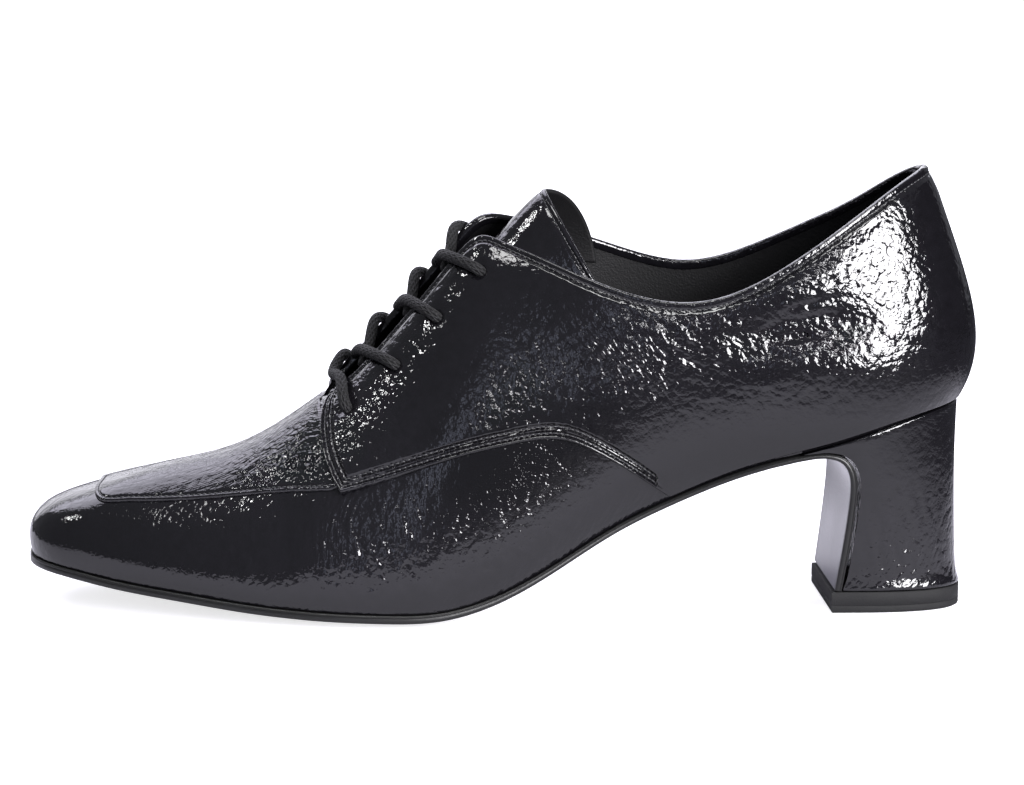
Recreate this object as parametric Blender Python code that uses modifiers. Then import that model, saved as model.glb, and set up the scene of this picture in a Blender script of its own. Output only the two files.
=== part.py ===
"""A woman's lace-up shoe with a block heel, left foot, as separate solids at their real size.

Metres, +Z up, +X towards the toe, +Y towards the outer side of the foot.
The origin is under the middle of the shoe, on the floor.
"""

import math
from collections import namedtuple

import bmesh
import bpy
import numpy as np
from mathutils import Vector

# The tables and sizes below are in millimetres and degrees, and MM turns them into Blender's metres.
MM = 0.001

# Driving dimensions
WALL = 1.3               # upper and lining together
OVERLAY = 1.0            # apron leather, over the vamp
QUARTER = 1.3            # quarter leather, over the vamp
FIT = 0.45               # gap between pieces that are sewn or glued together
SOLE_GAP = 0.3           # gap between the upper's lower rim and what it stands on
SOLE_MARGIN = 0.5        # how far the sole's edge stands out past the upper's lower rim
HEEL_MARGIN = 1.5        # the heel's covered edge is flush with the quarters
INSOLE = 2.0
TONGUE = 1.6
LACE = 3.0               # cord diameter
TOP_PIECE = 5.6          # height of the heel's rubber top piece
TOP_PIECE_FRONT = -88.4
TOP_PIECE_BACK = -124.4
TOP_PIECE_OUT, TOP_PIECE_IN = 18.6, -19.4
HEEL_SKEW = 0.047        # the heel's front is turned: its inner side stands further forward
PARTING = 0.6            # half gap between the two quarters at the back seam
QUARTER_FOOT = 0.022     # where the quarters' lower edge lies on the ribs, just clear of the heel

SHARP_ANGLE = 40         # edges sharper than this, in degrees, are shaded as edges
SHOE, GUIDES = "lace_up_shoe", "guides"

# Finish of each kind of part, found by the start of the part's name.
Finish = namedtuple("Finish", "parts colour roughness")
FINISHES = (
    Finish(("upper", "quarter", "apron", "tongue", "heel_block"), (0.010, 0.010, 0.012), 0.14),
    Finish(("outsole",), (0.018, 0.017, 0.018), 0.38),
    Finish(("insole",), (0.030, 0.028, 0.028), 0.60),
    Finish(("heel_top_piece",), (0.032, 0.032, 0.034), 0.70),
    Finish(("lace",), (0.022, 0.022, 0.024), 0.80),
)

# One row for each rib of the upper. A rib leaves the sole at foot_x, at foot_out on the outer side
# and foot_in on the inner side, leaning out by flare with a handle of length rise. It ends at top_x,
# top_out or top_in, top_z_out or top_z_in, falling away from there at drop below the level with a
# handle of length reach. fall is the slope along the shoe at that end.
Rib = namedtuple("Rib", "foot_x foot_out foot_in flare rise "
                        "top_x top_out top_in top_z_out top_z_in drop reach fall")
RIBS = (
    Rib(-121.7, -1.0, -1.0, 34, 19, -113.4, -1.0, -1.0, 117.6, 117.6, 71, 32, 0),
    Rib(-119.5, 7.8, -9.6, 33, 19, -111.2, 6.2, -8.0, 116.8, 116.6, 72, 30, 0),
    Rib(-114.2, 15.2, -17.0, 30, 18, -105.4, 12.4, -14.0, 113.8, 113.0, 74, 28, 0),
    Rib(-105.0, 20.6, -22.0, 26, 17, -96.4, 18.4, -19.8, 108.0, 106.8, 78, 25, 0),
    Rib(-92.0, 22.8, -23.7, 24, 16, -84.5, 23.0, -24.4, 99.8, 100.4, 82, 22, 0),
    Rib(-74.0, 22.3, -22.8, 25, 16, -68.5, 25.6, -26.8, 89.8, 93.2, 86, 18, 0),
    Rib(-50.0, 21.3, -20.3, 27, 16, -48.5, 26.4, -27.2, 84.0, 89.2, 86, 16, 0),
    Rib(-26.0, 24.4, -20.4, 28, 17, -27.0, 24.0, -25.0, 88.4, 95.0, 78, 19, 0),
    Rib(-6.0, 30.2, -24.6, 26, 19, -9.0, 15.8, -17.2, 95.4, 101.0, 60, 22, 0),
    Rib(4.5, 33.0, -28.0, 24, 20, 0.3, 10.8, -12.0, 98.8, 103.4, 50, 24, 0),
    Rib(11.0, 34.6, -30.2, 22, 20, 5.4, 8.0, -9.6, 99.6, 103.2, 44, 25, 0),
    Rib(17.5, 35.9, -32.3, 21, 20, 10.4, 6.9, -8.7, 95.6, 99.2, 40, 24, 0),
    Rib(25.0, 36.8, -34.6, 20, 20, 16.5, 6.6, -8.4, 88.2, 92.0, 37, 22, 0),
    Rib(38.0, 37.0, -37.2, 20, 19, 30.0, 6.6, -8.2, 72.2, 76.4, 34, 20, 0),
    Rib(49.5, 35.8, -37.6, 22, 18, 42.2, 6.6, -7.8, 59.6, 63.0, 30, 18, 0),
    Rib(53.5, 35.0, -37.3, 22, 17, 45.8, 4.2, -5.8, 56.8, 59.0, 18, 16, 0),
    Rib(57.5, 34.2, -36.8, 22, 16.5, 48.0, -1.0, -1.0, 55.6, 55.6, 0, 15, 0),
    Rib(70.0, 31.6, -34.8, 24, 15, 61.5, -1.0, -1.0, 46.3, 46.3, 0, 15, 0),
    Rib(86.0, 27.7, -31.4, 24, 13.5, 76.0, -1.3, -1.3, 39.8, 39.8, 0, 16, -0.10),
    Rib(100.0, 23.8, -27.6, 22, 13, 87.0, -1.6, -1.6, 37.2, 37.2, 0, 17, -0.20),
    Rib(111.8, 20.2, -24.2, 18, 12.5, 93.5, -1.9, -1.9, 35.6, 35.6, 0, 18, -0.25),
    Rib(119.6, 16.5, -20.6, 15, 12.5, 96.3, -2.1, -2.1, 34.9, 34.9, 0, 20, -0.27),
    Rib(125.0, 10.3, -14.8, 14, 13.5, 97.6, -2.3, -2.3, 34.5, 34.5, 0, 22, -0.27),
    Rib(127.3, -2.5, -2.5, 14, 14, 98.0, -2.5, -2.5, 34.4, 34.4, 0, 22, -0.27),
)
THROAT_ROW = 16          # from this rib to the toe the two sides meet along the crest

# The feather line, where the upper's lower rim stands: its height along the shoe.
Feather = namedtuple("Feather", "x z")
FEATHER = (
    Feather(-124.0, 56.0), Feather(-112.0, 53.9), Feather(-100.0, 50.4), Feather(-88.0, 46.5),
    Feather(-76.0, 43.2), Feather(-62.0, 38.9), Feather(-46.0, 32.4), Feather(-30.0, 24.8),
    Feather(-14.0, 15.4), Feather(2.0, 7.6), Feather(16.0, 4.2), Feather(30.0, 3.9),
    Feather(46.0, 4.4), Feather(64.0, 5.5), Feather(84.0, 7.8), Feather(104.0, 10.4),
    Feather(116.0, 12.6), Feather(127.0, 14.2),
)

# The flap of the sole down the front of the heel: the path of its outer face, its half breadths and
# its thickness, from the waist to the top piece.
Flap = namedtuple("Flap", "x z out inn thick")
FLAP = (
    Flap(-78.0, 41.5, 22.6, -23.2, 1.6), Flap(-83.0, 42.4, 22.6, -23.2, 1.5),
    Flap(-86.8, 42.4, 22.5, -23.1, 1.5), Flap(-90.0, 41.2, 22.3, -23.0, 1.6),
    Flap(-91.9, 38.4, 22.1, -22.8, 1.7), Flap(-92.5, 34.4, 21.8, -22.5, 1.8),
    Flap(-92.1, 28.0, 21.2, -21.9, 1.8), Flap(-90.9, 18.0, 20.2, -20.9, 1.8),
    Flap(-89.2, 6.2, 18.6, -19.4, 1.8),
)
WAIST_END = -72.0        # the sole's own outline ends here and the flap begins
SOLE_THICK = ((-72.0, 1.7), (-40.0, 1.9), (0.0, 2.2), (126.0, 2.2))
SOLE_BELLY = ((-72.0, 0.1), (-30.0, 1.2), (10.0, 2.1), (45.0, 2.1), (90.0, 1.2), (126.0, 0.4))

# The heel block, a row for each level: the station of the flap behind which its front corner lies,
# the height of its back, and how far the outline has gone from the top piece's (0) to the seat's (1).
Level = namedtuple("Level", "flap back_z blend")
LEVELS = (
    Level(8.0, 6.0, 0.00), Level(7.0, 20.0, 0.20), Level(6.0, 32.5, 0.42), Level(5.0, 40.5, 0.62),
    Level(4.5, 43.5, 0.69), Level(4.0, 46.0, 0.75), Level(3.5, 48.5, 0.81), Level(3.0, 50.5, 0.86),
    Level(2.5, 52.2, 0.91), Level(2.0, 53.6, 0.95), Level(1.5, 54.6, 0.98),
)
LIP = -81.5              # the heel's thin front lip under the waist
HEEL_POINTS = 26

# Quarter seam, in side view, from the sole forward to the front corner; and the front edge's bulge.
QUARTER_SEAM = ((-44.5, 32.6), (-39.2, 36.4), (-33.8, 40.2), (-25.9, 45.0), (-18.1, 48.4),
                (-10.3, 49.0), (0.1, 47.2), (13.1, 44.0), (26.2, 39.6), (34.1, 37.0), (41.5, 34.6))
QUARTER_TOP_RIB = 14.8   # the facing's lower end, counted in ribs from the heel's back
QUARTER_BULGE = 0.012

# Apron edge: its two sides in side view, from the quarter's front corner forward, then its front in
# plan as far as the middle of the toe.
APRON_SIDE = ((44.6, 35.4), (54.0, 34.3), (66.0, 32.7), (78.0, 31.1), (90.0, 30.1), (99.0, 29.7))
Front = namedtuple("Front", "x out inn")
APRON_FRONT = (Front(105.6, 14.6, -18.3), Front(108.2, 11.8, -15.8), Front(109.2, 6.6, -11.2),
               Front(109.3, -2.5, -2.5))
APRON_BACK_RIB = 16.2    # its rear edge crosses the crest here, counted in ribs from the heel's back
APRON_BACK = 5           # columns over which its lines swing round to that rear edge

# Tongue, a row for each station up the instep: its ridge, where its two edges lie across the foot,
# and how far they drop below the ridge.
Tongue = namedtuple("Tongue", "x z out inn drop_out drop_in")
TONGUES = (
    Tongue(57.0, 46.3, 10.0, -12.0, 4.0, 2.9), Tongue(48.0, 52.4, 11.0, -13.0, 5.0, 3.6),
    Tongue(36.0, 63.6, 12.0, -14.0, 7.0, 4.7), Tongue(24.0, 75.6, 13.0, -15.0, 9.0, 5.8),
    Tongue(12.0, 88.0, 14.5, -16.0, 12.0, 7.8), Tongue(1.0, 99.4, 15.0, -16.5, 17.0, 12.0),
    Tongue(-6.0, 107.0, 15.2, -17.2, 24.0, 17.0), Tongue(-11.6, 112.0, 16.0, -17.6, 30.0, 22.0),
)
TONGUE_MIDDLE = -1.0            # its ridge lies this far to the inner side
TONGUE_LEAN_OUT = (-0.50, -0.866)   # the way its edges drop, in side view
TONGUE_LEAN_IN = (-0.66, -1.0)      # on this side it first swings back, then drops
TONGUE_SPAN = 78                # how far round its arc the tongue runs on each side, in degrees

# Eyelets of the two facings in side view, from the throat up.
EYELETS_OUT = ((40.0, 54.6), (27.2, 66.2), (16.2, 78.8), (5.0, 91.0))
EYELETS_IN = ((39.0, 58.2), (26.4, 70.2), (15.4, 82.4), (3.6, 94.6))

# The lace's three kinds of strand, a row for each point: which facing (outer, both for the middle of
# the throat, or inner), whether it is at the eyelet or at the facing's edge, how many eyelets below
# its own it lies, how far above the facing's leather, and how far in over the throat.
Turn = namedtuple("Turn", "share at_hole below lift inset")
BAR = (Turn(1.0, True, 0.0, 0.3, 0.0), Turn(1.0, False, 0.25, 0.9, 0.0), Turn(0.5, False, 0.45, 2.2, 0.0),
       Turn(0.0, False, 0.25, 0.9, 0.0), Turn(0.0, True, 0.0, 0.3, 0.0))
OVER = (Turn(1.0, True, 0.0, 0.3, 0.0), Turn(1.0, False, 0.64, 0.9, 0.0), Turn(0.5, False, 0.87, 1.5, 0.0),
        Turn(0.0, False, 1.1, -1.2, 2.8))
UNDER = (Turn(0.0, True, 0.0, 0.3, 0.0), Turn(0.0, False, 0.45, 0.9, 0.0), Turn(0.5, False, 0.7, 0.2, 0.0),
         Turn(1.0, False, 0.9, -1.2, 2.8))


def spline(knots, values):
    """A smooth curve through the values, straight at both ends, as a function of the knots."""
    knots = np.asarray(knots, float)
    values = np.asarray(values, float)
    count = len(knots)
    step = np.diff(knots)
    matrix = np.eye(count)
    right = np.zeros(count)
    for row in range(1, count - 1):
        matrix[row, row - 1] = step[row - 1]
        matrix[row, row] = 2.0 * (step[row - 1] + step[row])
        matrix[row, row + 1] = step[row]
        after = (values[row + 1] - values[row]) / step[row]
        before = (values[row] - values[row - 1]) / step[row - 1]
        right[row] = 6.0 * (after - before)
    bend = np.linalg.solve(matrix, right)

    def curve(at):
        at = np.asarray(at, float)
        place = np.clip(np.searchsorted(knots, at) - 1, 0, count - 2)
        width = step[place]
        left = (knots[place + 1] - at) / width
        rest = 1.0 - left
        lift = (left ** 3 - left) * bend[place] + (rest ** 3 - rest) * bend[place + 1]
        return left * values[place] + rest * values[place + 1] + lift * width ** 2 / 6.0

    return curve


def ring_knots():
    """Where each rib stands on the ring: 0 at the toe, 1 at the heel's back."""
    out = np.array([(rib.foot_x, rib.foot_out) for rib in RIBS])
    inn = np.array([(rib.foot_x, rib.foot_in) for rib in RIBS])
    length = np.linalg.norm(np.diff(out, axis=0), axis=1) + np.linalg.norm(np.diff(inn, axis=0), axis=1)
    walked = np.concatenate([[0.0], np.cumsum(length)])
    return 1.0 - walked / walked[-1]


KNOTS = ring_knots()
THROAT = KNOTS[THROAT_ROW]
FEATHER_LINE = spline([row.x for row in FEATHER], [row.z for row in FEATHER])


def around(outer, inner, wrap=4):
    """A smooth closed curve round the whole ring through the outer and then the inner values."""
    knots = np.concatenate([KNOTS[::-1], 2.0 - KNOTS[1:]])
    values = np.concatenate([np.asarray(outer, float)[::-1], np.asarray(inner, float)[1:]])
    head = slice(-1 - wrap, -1)
    tail = slice(1, 1 + wrap)
    knots_all = np.concatenate([knots[head] - 2.0, knots, knots[tail] + 2.0])
    values_all = np.concatenate([values[head], values, values[tail]])
    curve = spline(knots_all, values_all)
    return lambda ring: curve(np.mod(ring, 2.0))


def both(name):
    """The same closed curve on both sides, for a column that has one value a rib."""
    values = [getattr(rib, name) for rib in RIBS]
    return around(values, values)


def edge_curve(outer_name, inner_name):
    """A top-edge column round the collar, from the outer throat over the heel to the inner throat."""
    rows = range(THROAT_ROW + 1)
    outer = [getattr(RIBS[row], outer_name) for row in reversed(rows)]
    inner = [getattr(RIBS[row], inner_name) for row in rows]
    knots = [KNOTS[row] for row in reversed(rows)] + [2.0 - KNOTS[row] for row in rows][1:]
    return spline(knots, outer + inner[1:])


def crest_curve(name):
    """A top column along the crest, from the outer throat round the toe to the inner throat."""
    rows = range(THROAT_ROW, len(RIBS))
    values = [getattr(RIBS[row], name) for row in rows]
    knots = [-KNOTS[row] for row in rows] + [KNOTS[row] for row in reversed(rows)][1:]
    return spline(knots, values + values[::-1][1:])


FOOT_X = both("foot_x")
FOOT_Y = around([rib.foot_out for rib in RIBS], [rib.foot_in for rib in RIBS])
FLARE, RISE = both("flare"), both("rise")
EDGE = [edge_curve("top_x", "top_x"), edge_curve("top_out", "top_in"),
        edge_curve("top_z_out", "top_z_in")]
CREST = [crest_curve("top_x"), crest_curve("top_out"), crest_curve("top_z_out")]
TOP_COLUMNS = {}
for column in ("drop", "reach", "fall"):
    TOP_COLUMNS[column] = (edge_curve(column, column), crest_curve(column))


def top_value(curves, ring):
    """A top column at the ring places: the collar's curve behind the throat, the crest's before it."""
    edge, crest = curves
    behind = np.where(ring >= 0.0, ring, 2.0 + ring)
    return np.where(np.abs(ring) > THROAT, edge(behind), crest(ring))


def outward(ring):
    """The level direction straight out of the foot outline."""
    step = 1e-4
    along_x = FOOT_X(ring + step) - FOOT_X(ring - step)
    along_y = FOOT_Y(ring + step) - FOOT_Y(ring - step)
    size = np.hypot(along_x, along_y)
    return along_y / size, -along_x / size


def last_point(ring, up):
    """A point on the outside of the upper; ring is + on the outer side, up runs from sole to top."""
    ring, up = np.broadcast_arrays(np.asarray(ring, float), np.asarray(up, float))
    foot = np.stack([FOOT_X(ring), FOOT_Y(ring), FEATHER_LINE(FOOT_X(ring))], axis=-1)
    out_x, out_y = outward(ring)
    level = np.stack([out_x, out_y, np.zeros_like(out_x)], axis=-1)
    upright = np.array([0.0, 0.0, 1.0])
    flare = np.radians(FLARE(ring))[..., None]
    leave = foot + RISE(ring)[..., None] * (np.sin(flare) * level + np.cos(flare) * upright)
    top = np.stack([top_value((EDGE[i], CREST[i]), ring) for i in range(3)], axis=-1)
    drop = np.radians(top_value(TOP_COLUMNS["drop"], ring))[..., None]
    reach = top_value(TOP_COLUMNS["reach"], ring)[..., None]
    fall = top_value(TOP_COLUMNS["fall"], ring)
    sloped = level + (fall * out_x)[..., None] * upright
    arrive = top + reach * (np.cos(drop) * sloped - np.sin(drop) * upright)
    t = up[..., None]
    rest = 1.0 - t
    return (rest ** 3 * foot + 3 * rest ** 2 * t * leave + 3 * rest * t ** 2 * arrive + t ** 3 * top)


def last_normal(ring, up):
    """The outward normal of the upper, read just below its top edge where the ribs run together."""
    step = 1e-3
    up = np.clip(up, step, 0.97)
    along = last_point(ring + step, up) - last_point(ring - step, up)
    climb = last_point(ring, up + step) - last_point(ring, up - step)
    normal = np.cross(along, climb)
    return normal / np.linalg.norm(normal, axis=-1, keepdims=True)


def last_offset(ring, up, height):
    """A point the given height outside the upper, along its normal; the crest takes both sides'."""
    ring, up = np.broadcast_arrays(np.asarray(ring, float), np.asarray(up, float))
    crest = (up > 0.999) & (np.abs(ring) <= THROAT + 1e-9)
    normal = last_normal(ring, up) + np.where(crest[..., None], last_normal(-ring, up), 0.0)
    normal = normal / np.linalg.norm(normal, axis=-1, keepdims=True)
    return last_point(ring, up) + np.asarray(height)[..., None] * normal


def locate(target, axes, start):
    """The ring and up values where the upper has the target's two coordinates."""
    ring, up = start
    axes = list(axes)
    for _ in range(40):
        here = last_point(ring, up)[axes]
        miss = np.asarray(target) - here
        if np.abs(miss).max() < 1e-4:
            break
        step = 1e-4
        by_ring = (last_point(ring + step, up)[axes] - here) / step
        by_up = (last_point(ring, up + step)[axes] - here) / step
        move = np.linalg.solve(np.stack([by_ring, by_up], axis=1), miss)
        move = np.clip(move, -0.05, 0.05)
        ring = ring + move[0]
        up = min(max(up + move[1], 0.0), 1.0)
    return ring, up


def ring_at(rib):
    """The ring place of a rib, counted from the heel's back; between two ribs for a part number."""
    return np.interp(rib, np.arange(len(RIBS)), KNOTS)


def rib_at(ring):
    """The rib number of a ring place."""
    return np.interp(np.abs(ring), KNOTS[::-1], np.arange(len(RIBS))[::-1])


def group(name):
    """The named collection, made the first time it is asked for."""
    if name not in bpy.data.collections:
        bpy.context.scene.collection.children.link(bpy.data.collections.new(name))
    return bpy.data.collections[name]


def finish_of(name):
    """A material of the part's own, with the finish of its kind."""
    kind = next(finish for finish in FINISHES if name.startswith(finish.parts))
    material = bpy.data.materials.new(name)
    material.use_nodes = True
    surface = material.node_tree.nodes["Principled BSDF"]
    surface.inputs["Base Color"].default_value = (*kind.colour, 1.0)
    surface.inputs["Roughness"].default_value = kind.roughness
    surface.inputs["Metallic"].default_value = 0.0
    return material


def add_object(name, mesh, collection=SHOE):
    """A smooth-shaded object with its own finish, in its collection."""
    mesh.shade_smooth()
    mesh.set_sharp_from_angle(angle=math.radians(SHARP_ANGLE))
    mesh.materials.append(finish_of(name))
    part = bpy.data.objects.new(name, mesh)
    group(collection).objects.link(part)
    return part


def add_mesh(name, points, faces, closed=False):
    """A mesh object from points in millimetres, with touching points made one."""
    mesh = bpy.data.meshes.new(name)
    bm = bmesh.new()
    verts = [bm.verts.new(Vector(point) * MM) for point in points]
    for face in faces:
        bm.faces.new([verts[index] for index in face])
    bmesh.ops.remove_doubles(bm, verts=bm.verts, dist=0.02 * MM)
    bmesh.ops.dissolve_degenerate(bm, edges=bm.edges, dist=0.001 * MM)
    if closed:
        bmesh.ops.recalc_face_normals(bm, faces=bm.faces)
    bm.to_mesh(mesh)
    bm.free()
    return add_object(name, mesh)


def add_sheet(name, grid, thickness, outside, closed=False):
    """A wall built on a grid of points: it grows outside the grid or inside it."""
    columns, rows = grid.shape[:2]
    points = grid.reshape(-1, 3)
    faces = []
    for column in range(columns if closed else columns - 1):
        after = (column + 1) % columns
        for row in range(rows - 1):
            faces.append((column * rows + row, after * rows + row,
                          after * rows + row + 1, column * rows + row + 1))
    part = add_mesh(name, points, faces)
    wall = part.modifiers.new("wall", "SOLIDIFY")
    wall.thickness = thickness * MM
    wall.offset = 1.0 if outside else -1.0
    wall.use_even_offset = True
    return part


def add_slab(name, lower, upper):
    """A solid between two matching rows of cross lines, closed round its edge and at both ends."""
    stations, across = lower.shape[:2]
    points = np.concatenate([lower.reshape(-1, 3), upper.reshape(-1, 3)])
    lift = stations * across

    def at(station, place, top):
        return (lift if top else 0) + station * across + place

    faces = []
    for station in range(stations - 1):
        for place in range(across - 1):
            faces.append((at(station, place, 0), at(station, place + 1, 0),
                          at(station + 1, place + 1, 0), at(station + 1, place, 0)))
            faces.append((at(station, place, 1), at(station + 1, place, 1),
                          at(station + 1, place + 1, 1), at(station, place + 1, 1)))
        for place in (0, across - 1):
            side = (at(station, place, 0), at(station + 1, place, 0),
                    at(station + 1, place, 1), at(station, place, 1))
            faces.append(side if place == 0 else side[::-1])
    for station in (0, stations - 1):
        for place in range(across - 1):
            end = (at(station, place, 0), at(station, place, 1),
                   at(station, place + 1, 1), at(station, place + 1, 0))
            faces.append(end if station == 0 else end[::-1])
    return add_mesh(name, points, faces, closed=True)


def foot_edge(rib, side, margin):
    """A point of the foot outline in plan, moved out by the margin."""
    ring = side * ring_at(rib)
    out_x, out_y = outward(ring)
    return np.stack([FOOT_X(ring) + margin * out_x, FOOT_Y(ring) + margin * out_y], axis=-1)


def table_curve(rows):
    """A straight-line reading of a two-column table."""
    places, values = zip(*rows)
    return lambda at: np.interp(at, places, values)


ACROSS = np.array([-1.0, -0.8, -0.45, 0.0, 0.45, 0.8, 1.0])


def cross_lines(ribs, margin):
    """Lines across the foot outline at the ribs, from the inner edge to the outer one, in plan."""
    outer = foot_edge(ribs, 1, margin)
    inner = foot_edge(ribs, -1, margin)
    share = ((ACROSS + 1.0) / 2.0)[None, :, None]
    return inner[:, None, :] * (1.0 - share) + outer[:, None, :] * share


def belly_at(plan):
    """How far the sole bellies down inside its edge, dying out where the outline closes."""
    breadth = np.linalg.norm(plan[:, -1] - plan[:, 0], axis=-1)
    arch = (1.0 - ACROSS[None, :] ** 2) * np.clip(breadth / 30.0, 0.0, 1.0)[:, None]
    return table_curve(SOLE_BELLY)(plan[..., 0]) * arch


def build_upper():
    ribs = np.arange(0.0, len(RIBS) - 0.99, 0.5)
    outer = ring_at(ribs)[::-1]
    ring = np.concatenate([outer, -ring_at(ribs)[1:-1]])
    grid = last_point(ring[:, None], np.linspace(0.0, 1.0, 10)[None, :])
    add_sheet("upper", grid, WALL, outside=False, closed=True)


def quarter_paths(side):
    """The quarter's lower and upper edges as matching ring and up places, heel first."""
    start = (side * ring_at(6.3), 0.02)
    seam = []
    for target in QUARTER_SEAM:
        start = locate(target, (0, 2), start)
        seam.append((float(rib_at(start[0])), start[1]))
    seam_rib, seam_up = np.array(seam).T
    ribs = np.append(np.arange(0.0, seam_rib[-1] - 0.1, 0.5), seam_rib[-1])
    low_up = np.interp(ribs, seam_rib, seam_up, left=0.0)
    low_ring = ring_at(ribs)
    low_ring[0] -= PARTING / 280.0
    low = np.stack([low_ring, np.maximum(low_up, QUARTER_FOOT)], axis=1)
    ease = np.clip((ribs - 11.0) / (ribs[-1] - 11.0), 0.0, 1.0)
    high_ring = ring_at(ribs + (QUARTER_TOP_RIB - ribs[-1]) * ease)
    high_ring[0] = low_ring[0]
    return low, np.stack([high_ring, np.ones_like(high_ring)], axis=1)


def front_bulge(climb):
    """How far the quarter's front edge swells towards the toe on its way up."""
    return QUARTER_BULGE * 4.0 * climb * (1.0 - climb)


def build_quarter(name, side):
    low, high = quarter_paths(side)
    climb = np.linspace(0.0, 1.0, 11)
    places = low[:, None, :] * (1.0 - climb)[None, :, None] + high[:, None, :] * climb[None, :, None]
    forward = np.clip(np.linspace(-5.0, 1.0, len(low)), 0.0, 1.0) ** 2
    ring = places[..., 0] - forward[:, None] * front_bulge(climb)[None, :]
    grid = last_offset(side * ring, places[..., 1], FIT)
    if side > 0:
        grid = grid[::-1]
    add_sheet(name, grid, QUARTER, outside=True)


def with_halves(points, first=0):
    """The points from the first one on and those halfway between, on a smooth curve through them all."""
    points = np.asarray(points, float)
    knots = np.arange(len(points))
    fine = np.arange(first, len(points) - 0.75, 0.5)
    return np.stack([spline(knots, column)(fine) for column in points.T], axis=1)


def apron_side(side):
    """The apron's lower edge on one side as ring and up places, from the quarter to the toe."""
    start = (side * ring_at(14.0), 0.5)
    found = []
    for target in with_halves(APRON_SIDE):
        start = locate(target, (0, 2), start)
        found.append(start)
    corner = [last_point(*place)[:2] for place in found[-3::2]]
    front = [(row.x, row.out if side > 0 else row.inn) for row in APRON_FRONT]
    for target in with_halves(corner + front, first=1)[1:]:
        start = locate(target, (0, 1), start)
        found.append(start)
    return np.abs(np.array(found))


def build_apron():
    outer, inner = apron_side(1), apron_side(-1)
    climb = np.linspace(0.0, 1.0, 10)
    crest = (outer[:, 0] + inner[:, 0]) / 2.0
    crest[:APRON_BACK] = np.linspace(ring_at(APRON_BACK_RIB), crest[APRON_BACK - 1], APRON_BACK)
    back = np.clip(1.0 - np.arange(len(crest)) / (APRON_BACK - 1.0), 0.0, 1.0)
    halves = []
    for side, low in ((1, outer), (-1, inner)):
        ring = low[:, :1] * (1.0 - climb) + crest[:, None] * climb
        ring = ring - back[:, None] * front_bulge(climb)[None, :]
        up = low[:, 1:] * (1.0 - climb) + climb
        halves.append(last_offset(side * ring, up, FIT))
    grid = np.concatenate([halves[1], halves[0][::-1][1:]])
    add_sheet("apron", grid, OVERLAY, outside=True)


def skew(y):
    """How far forward the heel's front lies at a breadth, past its outer corner."""
    return HEEL_SKEW * (TOP_PIECE_OUT - y)


def flap_path(stations):
    """The flap at the stations: its outer face in side view, the way in, its thickness and breadth."""
    rows = range(len(FLAP))
    read = {name: spline(rows, [getattr(row, name) for row in FLAP]) for name in Flap._fields}
    step = 0.05
    way = np.stack([read["x"](stations + step) - read["x"](stations - step),
                    read["z"](stations + step) - read["z"](stations - step)], axis=1)
    way = way / np.linalg.norm(way, axis=1, keepdims=True)
    face = np.stack([read["x"](stations), read["z"](stations)], axis=1)
    inside = np.stack([way[:, 1], -way[:, 0]], axis=1)
    share = (ACROSS + 1.0) / 2.0
    breadth = read["inn"](stations)[:, None] * (1.0 - share) + read["out"](stations)[:, None] * share
    return face, inside, read["thick"](stations), breadth


def build_outsole():
    first = float(np.interp(WAIST_END, [rib.foot_x for rib in RIBS], range(len(RIBS))))
    ribs = np.linspace(len(RIBS) - 1.0, first, 32)
    plan = cross_lines(ribs, SOLE_MARGIN)
    seat = FEATHER_LINE(plan[..., 0]) - SOLE_GAP
    belly = belly_at(plan)
    thick = table_curve(SOLE_THICK)(plan[..., 0])
    lower = np.concatenate([plan, np.maximum(seat - thick - belly, 0.0)[..., None]], axis=-1)
    upper = np.concatenate([plan, (seat - 0.35 * belly)[..., None]], axis=-1)

    face, inside, thick, breadth = flap_path(np.linspace(0.0, len(FLAP) - 1.0, 2 * len(FLAP) - 1))
    flat = np.ones_like(breadth)
    turned = skew(breadth) * np.clip(np.linspace(0.0, 3.0, len(face)), 0.0, 1.0)[:, None]
    front = np.stack([face[:, :1] + turned, breadth, face[:, 1:] * flat], axis=-1)
    behind = face + inside * thick[:, None]
    back = np.stack([behind[:, :1] + turned, breadth, behind[:, 1:] * flat], axis=-1)
    add_slab("outsole", np.concatenate([lower, front]), np.concatenate([upper, back]))


def build_insole():
    ribs = np.linspace(len(RIBS) - 1.0, 0.0, 32)
    plan = cross_lines(ribs, -(WALL + FIT))
    low = FEATHER_LINE(plan[..., 0]) - SOLE_GAP + FIT - 0.35 * belly_at(plan)
    lower = np.concatenate([plan, low[..., None]], axis=-1)
    upper = np.concatenate([plan, (low + INSOLE)[..., None]], axis=-1)
    add_slab("insole", lower, upper)


def top_piece_outline():
    """The heel's lower outline: share of its length from the back, and breadth, outer front first."""
    turn = np.linspace(0.0, math.pi, HEEL_POINTS)
    squareness = 2.0 / 2.9
    share = 1.0 - np.abs(np.sin(turn)) ** squareness
    swing = np.sign(np.cos(turn)) * np.abs(np.cos(turn)) ** squareness
    middle = (TOP_PIECE_OUT + TOP_PIECE_IN) / 2.0
    half = (TOP_PIECE_OUT - TOP_PIECE_IN) / 2.0
    return share, middle + half * swing


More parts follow.
